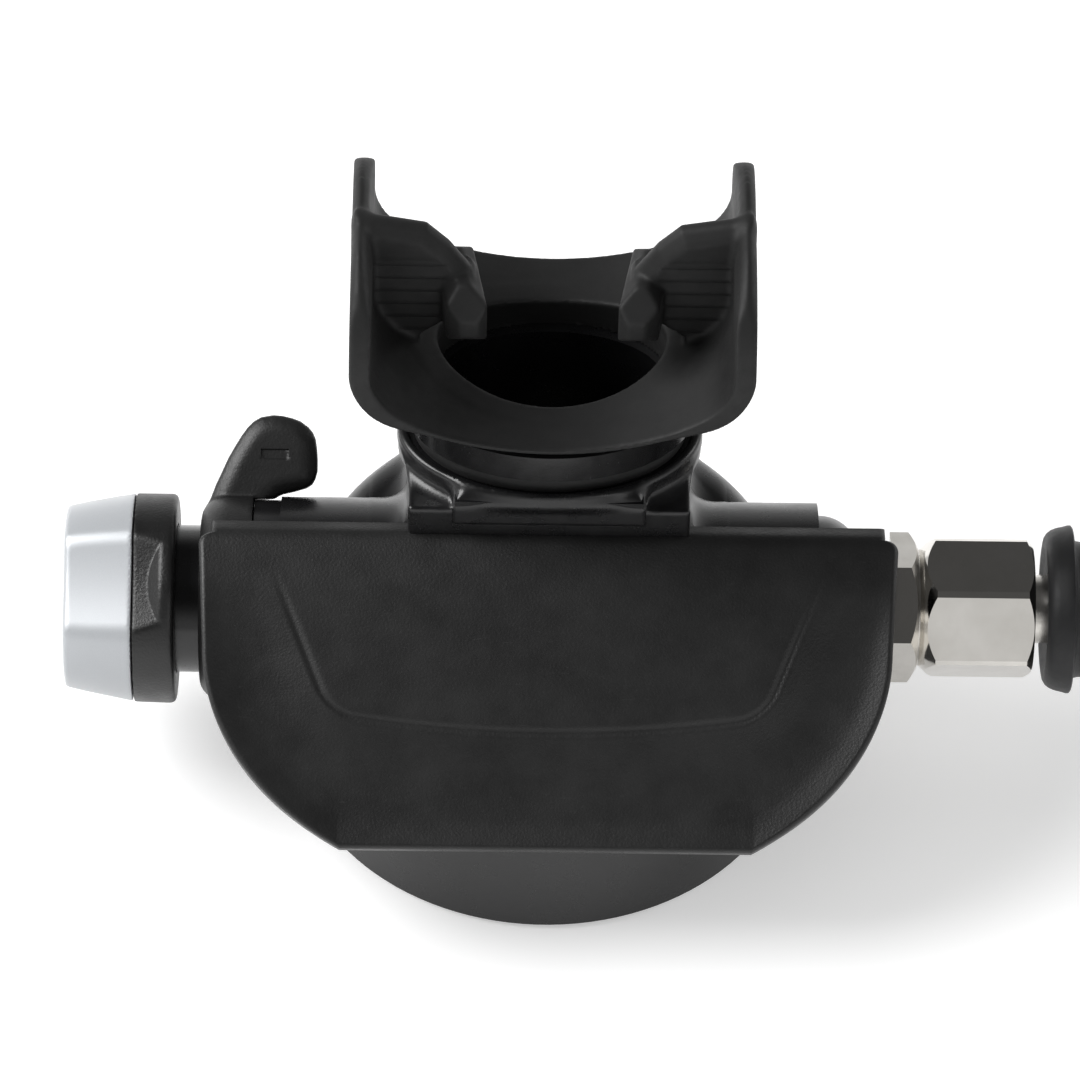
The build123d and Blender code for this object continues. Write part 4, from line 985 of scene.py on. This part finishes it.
def mouthpieceAway(x, y, z):
    s = mouthpieceShape
    x, y = abs(x), y - neckY
    depth = shieldDepth(x, z)
    high = s["underside"] + s["endHeight"]
    half = s["height"] / 2
    r = s["tipRadius"]
    dy, dz = abs(y) - half + r, z - high + r
    edge = numpy.hypot(dy.clip(0), dz.clip(0)) + numpy.minimum(numpy.maximum(dy, dz), 0) - r
    edge = numpy.where(dz > 0, edge, abs(y) - half)
    upright = ramp(x, *s["upright"])
    thin = (s["wall"] - s["lipWall"]) * (1 - ramp(-edge, 0.0, 7.0)) * (1 - upright)
    tip = ramp(z, high - s["tipLength"], high)
    wall = s["wall"] + s["sideWall"] * upright - s["tipTaper"] * tip
    sheet = smoothHigh(depth - wall, thin - depth, 0.7)
    sheet = smoothHigh(sheet, edge, s["edgeBlend"][0] + s["edgeBlend"][1] * tip)
    sleeve = ovalAway(x, y, *s["sleeve"])
    sleeve = numpy.maximum(smoothHigh(sleeve, s["sleeveBottom"] - z, 0.5), z - s["sleeveTop"])
    piece = smoothLow(sheet, numpy.maximum(sleeve, depth - s["wall"]), s["sleeveBlend"])
    piece = smoothHigh(piece, depth - wall, 0.3)
    flareFrom, flareDeep, flare = s["boreFlare"]
    bore = ovalAway(x, y, *s["bore"]) - flare * (flareFrom - z).clip(0, flareDeep)
    piece = smoothHigh(piece, -numpy.maximum(bore, s["socketTop"] - z), 0.5)
    piece = smoothLow(piece, numpy.maximum(tabAway(x, y, z), -depth), s["tabBlend"])
    piece = smoothLow(piece, lugAway(x, y, z), 0.5)
    socket = numpy.maximum(ovalAway(x, y, *s["socket"]), z - s["socketTop"])
    return numpy.maximum(piece, -socket)


def buildMouthpiece(material):
    s = mouthpieceShape
    wide, deep = s["halfWidth"] + 1, s["height"] / 2 + 1
    low = (-wide, neckY - deep, s["sleeveBottom"] - 1)
    high = (wide, neckY + deep, s["underside"] + s["endHeight"] + 1)
    obj = meshFromDistance("mouthpieceMoulding", mouthpieceAway, low, high, s["grid"])
    finishPiece(obj, material, "case", ["mouthpiece"], 55)


# Neck moulding: square foot, oval lip, front panel, and soft fillets down to the case
neckShape = {
    "foot": (18.95, 12.55),
    "footCorner": 0.5,
    "foldZ": 50.4,
    "lip": (41.2, 26.6),
    "lipZ": (51.4, 53.9),
    "lipInner": (38.4, 25.0),
    "panelHalf": 12.9,
    "panelProud": 0.75,
    "panelZ": (48.0, 53.2),
    "tube": (33.5, 20.5),
    "fillet": 4.2,
    "caseRadius": 33.0,
    "caseTop": 37.0,
    "caseShoulder": 33.5,
    "caseRound": 6.0,
    "barrelRadius": 14.1,
    "skin": 1.1,
    "hollowFrom": 53.05,
    "footBlend": 2.6,
    "sink": (0.05, 0.6),  # proud at the foot, then this far under the case's face
    "sinkOver": (5.0, 8.7),
    "box": ((-29.0, -6.5, 32.0), (29.0, 29.0, 55.0)),
    "grid": 0.36,
}


def neckAway(x, y, z):
    n = neckShape
    v = y - neckY
    foot = boxAway(x, v, *n["foot"], n["footCorner"])
    foot = smoothHigh(foot, z - n["foldZ"], 0.5)
    lip = ovalAway(x, v, *n["lip"])
    lip = smoothHigh(smoothHigh(lip, z - n["lipZ"][1], 0.9), n["lipZ"][0] - z, 0.9)
    neck = smoothLow(foot, lip, n["footBlend"])
    deep = n["foot"][1] / 2
    panel = boxAway(x, v + deep, n["panelHalf"], deep + n["panelProud"], 0.3)
    panel = smoothHigh(smoothHigh(panel, z - n["panelZ"][1], 2.4), n["panelZ"][0] - z, 0.4)
    neck = smoothLow(neck, panel, 0.3 + 1.5 * ramp(z, 50.6, 52.6))
    r = numpy.hypot(x, y)
    rounding = n["caseRound"]
    inner = n["caseRadius"] - rounding
    slope = (n["caseTop"] - n["caseShoulder"]) / inner
    crown = (z - n["caseTop"] + slope * r) / math.hypot(1, slope)
    out = numpy.hypot((r - inner).clip(0), (z - n["caseShoulder"] + rounding).clip(0)) - rounding
    crown = numpy.where(r > inner, out, crown)
    barrel = numpy.hypot(y, z - lineHeight) - n["barrelRadius"]
    near = boxAway(x, v, *n["foot"], n["footCorner"])
    sink = n["sink"][1] * ramp(near, *n["sinkOver"]) - n["sink"][0]
    ground = numpy.minimum(crown, barrel) + sink
    piece = smoothLow(neck, ground, n["fillet"])
    hollow = ovalAway(x, v, *n["lipInner"])
    hollow = smoothHigh(hollow, n["hollowFrom"] - z, 0.3)
    piece = smoothHigh(piece, -hollow, 0.6)
    piece = numpy.maximum(piece, -ovalAway(x, v, *n["tube"]))
    return numpy.maximum(piece, -(ground + n["skin"]))


def buildNeck(material):
    obj = meshFromDistance("neckMoulding", neckAway, *neckShape["box"], neckShape["grid"])
    finishPiece(obj, material, "case", [], 40)


# Adjusting knob: silver cap with three shallow scallops that run on into the grip ring
knobShape = {
    "outerX": -65.6,
    "jointX": -56.2,
    "innerX": -50.5,
    "tipRadius": 12.4,
    "radius": 14.3,
    "scallops": 3,
    "firstAngle": 123.0,
    "reach": (10.85, 12.9),
    "hollow": 0.4,
    "edge": 0.8,
    "endEdge": 0.6,
    "pocketX": -52.4,
    "ringBore": 10.25,
    "shaftBore": 4.1,
    "capBore": 8.6,
    "endWalls": (2.2, 2.0),  # of the cap and of the ring
    "taperPower": 0.85,
    "reachOver": 11,
    "hollowHalf": 6.4,
    "ringEdge": 0.9,
    "pocketEdge": 0.35,
    "gap": 0.12,
    "grid": 0.3,
}


def knobBody(x, y, z, soft, pockets):
    k = knobShape
    height = z - lineHeight
    r = numpy.hypot(y, height)
    share = ((x - k["outerX"]) / (k["jointX"] - k["outerX"])).clip(0, 1)
    taper = k["tipRadius"] + (k["radius"] - k["tipRadius"]) * share ** k["taperPower"]
    body = smoothHigh(r - taper, k["outerX"] - x, k["endEdge"])
    for i in range(k["scallops"]):
        angle = math.radians(k["firstAngle"] + 360 / k["scallops"] * i)
        out = y * math.cos(angle) + height * math.sin(angle)
        across = height * math.cos(angle) - y * math.sin(angle)
        near, far = k["reach"]
        reach = near + (far - near) * (x - k["outerX"]) / k["reachOver"]
        flat = out - reach + k["hollow"] * (1 - (across / k["hollowHalf"]) ** 2).clip(-1)
        if pockets:
            flat = numpy.minimum(flat, closing(k["pocketX"] - x, r - k["radius"]))
        body = smoothHigh(body, flat, soft)
    return body, r


def capAway(x, y, z):
    k = knobShape
    body, r = knobBody(x, y, z, k["edge"], False)
    body = smoothHigh(body, x - k["jointX"] + k["gap"], 0.3)
    inside = numpy.maximum(r - k["capBore"], k["outerX"] + k["endWalls"][0] - x)
    return numpy.maximum(body, -inside)


def ringAway(x, y, z):
    k = knobShape
    body, r = knobBody(x, y, z, k["pocketEdge"], True)
    body = smoothHigh(body, x - k["innerX"], k["ringEdge"])
    body = smoothHigh(body, k["jointX"] + 0.05 - x, 0.3)
    inside = numpy.maximum(r - k["ringBore"], k["jointX"] + k["endWalls"][1] - x)
    return numpy.maximum(numpy.maximum(body, -inside), k["shaftBore"] - r)


def buildKnob():
    k = knobShape
    wide = k["radius"] + 1
    low = (k["outerX"] - 1, -wide, lineHeight - wide)
    high = (k["innerX"] + 1, wide, lineHeight + wide)
    cap = meshFromDistance("knobCapSilver", capAway, low, high, k["grid"])
    finishPiece(cap, finishes["silver_plastic"], "knob", ["knob_cap"], 40)
    ring = meshFromDistance("knobGripRing", ringAway, low, high, k["grid"] * 0.85)
    finishPiece(ring, finishes["ring_black"], "knob", ["knob_ring"], 34)


# Air-flow lever: a ring round the gland with a hooked, bevelled paddle
leverShape = {
    "ringX": (-47.3, -40.2),
    "ringRadius": 14.1,
    "ringBore": 10.15,
    "ringBevel": 2.0,
    "angle": 40.0,
    "thickness": 4.6,
    "bevel": (1.6, 1.0),  # width across the face, and drop at the edge
    "outline": [
        (-47.0, 10.8), (-46.9, 11.4), (-46.2, 13.6), (-45.5, 15.5), (-44.6, 17.5), (-43.8, 19.3),
        (-42.9, 20.9), (-42.0, 22.4), (-41.2, 23.5), (-40.4, 24.3), (-39.4, 24.9), (-37.7, 25.2),
        (-36.4, 25.1), (-35.1, 24.8), (-34.0, 24.4), (-32.9, 23.6), (-32.3, 22.9), (-31.9, 22.0),
        (-31.7, 20.6), (-31.6, 19.2), (-31.6, 17.6), (-31.9, 16.5), (-32.3, 15.8), (-33.0, 15.3),
        (-34.6, 14.8), (-36.3, 14.4), (-37.0, 14.1), (-37.5, 13.5), (-37.7, 12.8), (-37.8, 10.8),
    ],
    "clearRadius": 13.8,
    "rootRadius": 11.5,
    "box": ((-48.2, -15.0, 12.8), (-30.8, 22.5, 47.5)),
    "mark": (-37.4, 19.8),
    "markSize": (3.6, 1.3, 0.4),
    "grid": 0.3,
}


def leverAway(x, y, z):
    v = leverShape
    height = z - lineHeight
    angle = math.radians(v["angle"])
    out = y * math.cos(angle) + height * math.sin(angle)
    face = height * math.cos(angle) - y * math.sin(angle)
    r = numpy.hypot(y, height)
    half = v["thickness"] / 2
    edge = outlineAway(x, out, v["outline"])
    paddle = smoothHigh(edge, abs(face) - half, 0.4)
    wide, drop = v["bevel"]
    slope = (edge * drop + (abs(face) - half + drop) * wide) / math.hypot(drop, wide)
    paddle = smoothHigh(paddle, slope, 0.45)
    root = numpy.where(x > v["ringX"][1] - 0.1, v["clearRadius"], v["rootRadius"])
    paddle = smoothHigh(paddle, root - r, 0.3)
    length, width, depth = [s / 2 for s in v["markSize"]]
    dx, dy = abs(x - v["mark"][0]), abs(out - v["mark"][1])
    minus = numpy.maximum(dx - length, dy - width)
    plus = numpy.minimum(minus, numpy.maximum(dx - width, dy - length))
    minus = numpy.maximum(minus, half - depth - face)
    plus = numpy.maximum(plus, half - depth + face)
    paddle = smoothHigh(paddle, -numpy.minimum(minus, plus), 0.15)
    left, right = v["ringX"]
    bevel = closing(r - v["ringRadius"], left + v["ringBevel"] - x)
    ring = smoothHigh(smoothHigh(r - v["ringRadius"], bevel, 1.2), left - x, 0.8)
    ring = numpy.maximum(smoothHigh(ring, x - right, 0.25), v["ringBore"] - r)
    return smoothLow(ring, paddle, 0.5)


def buildLever(material):
    obj = meshFromDistance("airFlowLever", leverAway, *leverShape["box"], leverShape["grid"])
    finishPiece(obj, material, "air_flow_lever", ["venturi_lever"], 36)


# Hose nut: hexagon with worn corners and turned ends
hoseNut = {
    "x": (50.7, 66.3),
    "cornerAngle": 121.0,
    "cornerRadius": 9.86,
    "cornerHalf": 2.6,
    "leftTurned": (7.9, 2.4),  # radius at the end face, and length of the cone
    "rightTurned": (8.6, 1.1),
    "thread": (59.3, 7.2),
    "stemBore": 4.8,
}


def buildHoseNut(material):
    n = hoseNut
    left, right = n["x"]
    corners = []
    for k in range(6):
        for lean in (-n["cornerHalf"], n["cornerHalf"]):
            turn = math.radians(n["cornerAngle"] + 60 * k + lean)
            r = n["cornerRadius"]
            corners.append((r * math.cos(turn) * mm, (lineHeight + r * math.sin(turn)) * mm))
    count = len(corners)
    points = [(x * mm, y, z) for x in (left - 1, right + 1) for y, z in corners]
    faces = [tuple(range(count))[::-1], tuple(range(count, 2 * count))]
    faces += [(k, (k + 1) % count, count + (k + 1) % count, count + k) for k in range(count)]
    prism = meshObject("prism", points, faces)
    tidyNormals(prism)
    most = n["cornerRadius"] + 0.2
    leftRadius, leftLength = n["leftTurned"]
    rightRadius, rightLength = n["rightTurned"]
    threadEnd, threadRadius = n["thread"]
    profile = [(left, threadRadius), (left, leftRadius), (left + leftLength, most)]
    profile += [(right - rightLength, most), (right, rightRadius), (right, n["stemBore"])]
    profile += [(threadEnd, n["stemBore"]), (threadEnd, threadRadius)]
    nut = turnedOnLine("hoseNutHexagon", profile)
    tidyNormals(nut)
    modify(nut, "BOOLEAN", operation="INTERSECT", object=prism, solver="EXACT")
    applyModifiers(nut)
    bpy.data.objects.remove(prism)
    finishPiece(nut, material, "hose_nut", ["hose_nut"], 12)


# Hose protector: rounded collar with a thin lip, then a tapered sleeve with soft ribs
protector = {
    "collar": [
        (68.55, 5.0), (68.3, 7.9), (68.0, 8.6), (67.9, 9.3), (68.0, 9.9), (68.3, 10.4),
        (68.8, 10.8), (69.5, 11.1), (70.4, 11.3), (71.1, 11.5), (71.45, 11.5), (71.65, 11.25),
        (71.75, 10.6), (71.85, 9.7), (72.1, 9.4), (72.6, 9.28),
    ],
    "radii": (9.3, 7.6),
    "taperFrom": 71.6,
    "sleeveFrom": 73.0,
    "rings": 170,
    "plainEnd": 3,
    "ribSides": (0.0, 0.12, 0.32, 0.46),
    "ribFrom": 81.6,
    "ribs": 6,
    "ribDepth": 0.7,
    "end": 112.0,
    "endRound": [(0.15, 0.2), (0, 0.7)],
    "inner": [(112.0, 5.58), (90.05, 5.58), (90.05, 7.45), (68.55, 7.45)],
}


def buildProtector(material):
    p = protector
    profile = list(p["collar"])
    end, start, taperFrom = p["end"], p["sleeveFrom"], p["taperFrom"]
    ribEnd = end - p["plainEnd"]
    pitch = (ribEnd - p["ribFrom"]) / p["ribs"]
    big, small = p["radii"]
    fallFrom, fallTo, riseFrom, riseTo = p["ribSides"]
    for k in range(p["rings"]):
        x = start + (end - 0.6 - start) * k / (p["rings"] - 1)
        r = big - (big - small) * (x - taperFrom) / (end - taperFrom)
        if p["ribFrom"] < x < ribEnd:
            place = ((x - p["ribFrom"]) % pitch) / pitch
            r -= p["ribDepth"] * ease(place, fallFrom, fallTo) * (1 - ease(place, riseFrom, riseTo))
        profile.append((x, r))
    profile += [(end - back, small - drop) for back, drop in p["endRound"]] + p["inner"]
    sleeve = turnedOnLine("hoseProtectorSleeve", profile)
    finishPiece(sleeve, material, "case", ["hose_protector"], 38)


# Springs and diaphragm copied from their nodes; the purge spring goes on the case, and the poppet
# spring is cut in two across its axis
yielding = {
    "purgeSpring": {"fixed": (0, 0, 5.2), "keep": 0.33},
    "poppetSpring": {"still": -18.8, "padEnd": -25.9, "nutEnd": -11.7},
    "diaphragm": {"still": 9.05, "raised": 10.35},
}


def yieldingCopy(name, node, material):
    source = nodes[node]
    obj = placed(name, source.data.copy())
    obj.data.transform(source.matrix_world)
    wear(obj, material)
    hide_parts(node)
    return obj


def keepOneSide(obj, planeX, side):
    work = bmesh.new()
    work.from_mesh(obj.data)
    everything = work.verts[:] + work.edges[:] + work.faces[:]
    cut = bmesh.ops.bisect_plane(
        work, geom=everything, plane_co=(planeX * mm, 0, 0), plane_no=(side, 0, 0), clear_inner=True
    )
    rim = [e for e in cut["geom_cut"] if isinstance(e, bmesh.types.BMEdge)]
    bmesh.ops.holes_fill(work, edges=rim)
    work.to_mesh(obj.data)
    work.free()


def layYielding(steel, silicone):
    spring = yielding["purgeSpring"]
    coil = yieldingCopy("purgeReturnSpring", "purge_spring", steel)
    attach(coil, "case")
    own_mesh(coil)
    spring = yielding["poppetSpring"]
    ends = [("poppetSpringPadEnd", -1, "spring_carrier", spring["padEnd"])]
    ends += [("poppetSpringNutEnd", 1, "poppet", spring["nutEnd"])]
    for name, side, body, end in ends:
        half = yieldingCopy(name, "poppet_spring", steel)
        keepOneSide(half, spring["still"], side)
        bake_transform(half)
    skin = yieldingCopy("diaphragmSkin", "diaphragm", silicone)
    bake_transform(skin)


buildDeflector(finishes["tee_black"])
buildMouthpiece(finishes["soft_black"])
buildNeck(finishes["shell_black"])
buildKnob()
buildLever(finishes["tee_black"])
buildHoseNut(finishes["chrome"])
buildProtector(sleeveRubber)
layYielding(finishes["steel"], finishes["silicone_clear"])
